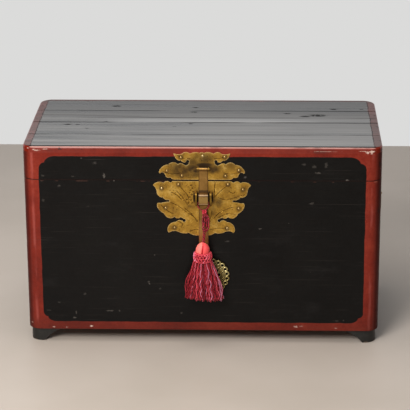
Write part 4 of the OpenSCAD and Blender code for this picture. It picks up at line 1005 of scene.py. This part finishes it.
def rosette_rims(material):
    """Round wire on the rim loops and the inner holes of the rosette."""
    made = Build()
    centre = Vector((HASP_X + ROSETTE_R * math.sin(ROSETTE_TURN), ROSETTE_Y,
                     RIVET_Z - ROSETTE_R * math.cos(ROSETTE_TURN)))

    def ring(count, first, radius, wide, thick, turned=0.0):
        for k in range(first, count):
            angle = ROSETTE_TURN + turned + 2 * math.pi * k / count
            middle = centre + Vector((-math.sin(angle), 0, math.cos(angle))) * radius
            path = [middle + Vector((math.cos(a), 0, math.sin(a))) * wide for a in turns(20)]
            made.tube(path, thick, 8, 0.5, closed=True)

    ring(20, 1, ROSETTE_R, 0.0047, 0.0015)
    ring(10, 0, ROSETTE_R * 0.5, 0.0050, 0.0008)
    ring(20, 0, ROSETTE_R * 0.77, 0.0024, 0.0006, math.pi / 20)
    made.piece("rosette_wire", material, "rosette", "brass")


def dress():
    """Gives every carried-over solid its material: the first whose word is in the solid's name."""
    red_black, wood, old_brass = lacquer(), bare_wood(), brass("brass_old", 0.8)
    looks = (("bottom", wood), ("board", red_black), ("rail", red_black), ("plank", top_lacquer()), ("lip", wood),
             ("foot", foot_lacquer()), ("plate_nails", brass("brass_nails", 0.3, RUBBED)),
             ("nails", brass("brass_worn", 0.4)), ("hasp_pin", brass("brass_pin", 0.9, DARKENED)),
             ("hasp_ear", old_brass), ("hasp", brass("brass_strap", 0.55, BROWNED, dark_sides=True)),
             ("lock_eye", brass("brass_eyes", 0.65)), ("rosette_rivet", old_brass),
             ("rosette", brass("brass_pale", 0.9, PALE)), ("tassel_head", CORAL), ("tassel", CRIMSON),
             ("", old_brass))
    for name, node in NODES.items():
        node.data.materials.clear()
        node.data.materials.append(next(look for word, look in looks if word in name))
    engraved_plate("lower_lock_plate", "chest")
    engraved_plate("upper_lock_plate", "lid")
    # The wire in a brighter brass than the disc, partly a painted highlight for its glints
    rosette_rims(brass("brass_wire", 0.12, PALE))


def make_stage():
    """A plain pale floor under soft studio light, and the camera."""
    s = Shader("floor")
    tint = s.ramp(s.noise(3, 3), (0.3, (176, 166, 156)), (0.7, (184, 174, 165)))
    floor_material = s.finish(Base_Color=tint, Roughness=0.55)
    mesh = bpy.data.meshes.new("floor")
    left, right, near, far = FLOOR
    mesh.from_pydata([(left, near, 0), (right, near, 0), (right, far, 0), (left, far, 0)], [], [(0, 1, 2, 3)])
    mesh.materials.append(floor_material)
    show("floor", mesh)

    world = bpy.data.worlds.new("studio")
    bpy.context.scene.world = world
    w = Nodes(world)
    x, y, z = w.split(w.add("ShaderNodeTexCoord").outputs["Generated"])

    # The light is strong from behind and low, and falls to the right. The camera sees a plain wall.
    strength = w.times(w.step(y, 0.1, 0.8, 0.16, 1.05), w.step(z, 0.35, 0.8, 1.0, 0.35),
                       w.step(x, -0.03, 0.07, 1.0, 0.84))
    light = w.add("ShaderNodeBackground", (0.98, 0.99, 1, 1), strength).outputs[0]
    wall = w.add("ShaderNodeBackground", rgb(219, 219, 218)).outputs[0]
    seen = w.add("ShaderNodeLightPath").outputs["Is Camera Ray"]
    w.add("ShaderNodeOutputWorld", w.add("ShaderNodeMixShader", seen, light, wall).outputs[0])

    for name, place, size, power in LAMPS:
        lamp = bpy.data.lights.new(name, "AREA")
        lamp.size, lamp.energy, lamp.color = size, power, (1.0, 0.97, 0.93)
        placed = show(name, lamp)
        placed.location = place
        placed.rotation_euler = (Vector(LAMPS_AIM) - Vector(place)).to_track_quat("-Z", "Y").to_euler()

    lens = bpy.data.cameras.new("camera")
    lens.lens, lens.sensor_width, lens.clip_end = CAMERA_LENS, 36, 50
    camera = show("camera", lens)
    turned = Matrix.Rotation(-CAMERA_TURN, 3, "Z")
    back = turned @ Vector((0, -math.cos(CAMERA_DOWN), math.sin(CAMERA_DOWN)))
    up = turned @ Vector((0, math.sin(CAMERA_DOWN), math.cos(CAMERA_DOWN)))
    right = turned @ Vector((1, 0, 0))
    across = right * math.cos(CAMERA_ROLL) + up * math.sin(CAMERA_ROLL)
    above = up * math.cos(CAMERA_ROLL) - right * math.sin(CAMERA_ROLL)
    camera.matrix_world = Matrix([*zip(across, above, back, CAMERA_AT), (0, 0, 0, 1)])
    bpy.context.scene.camera = camera
    bpy.context.scene.view_settings.view_transform = "Standard"


dress()
make_tassel()
make_stage()
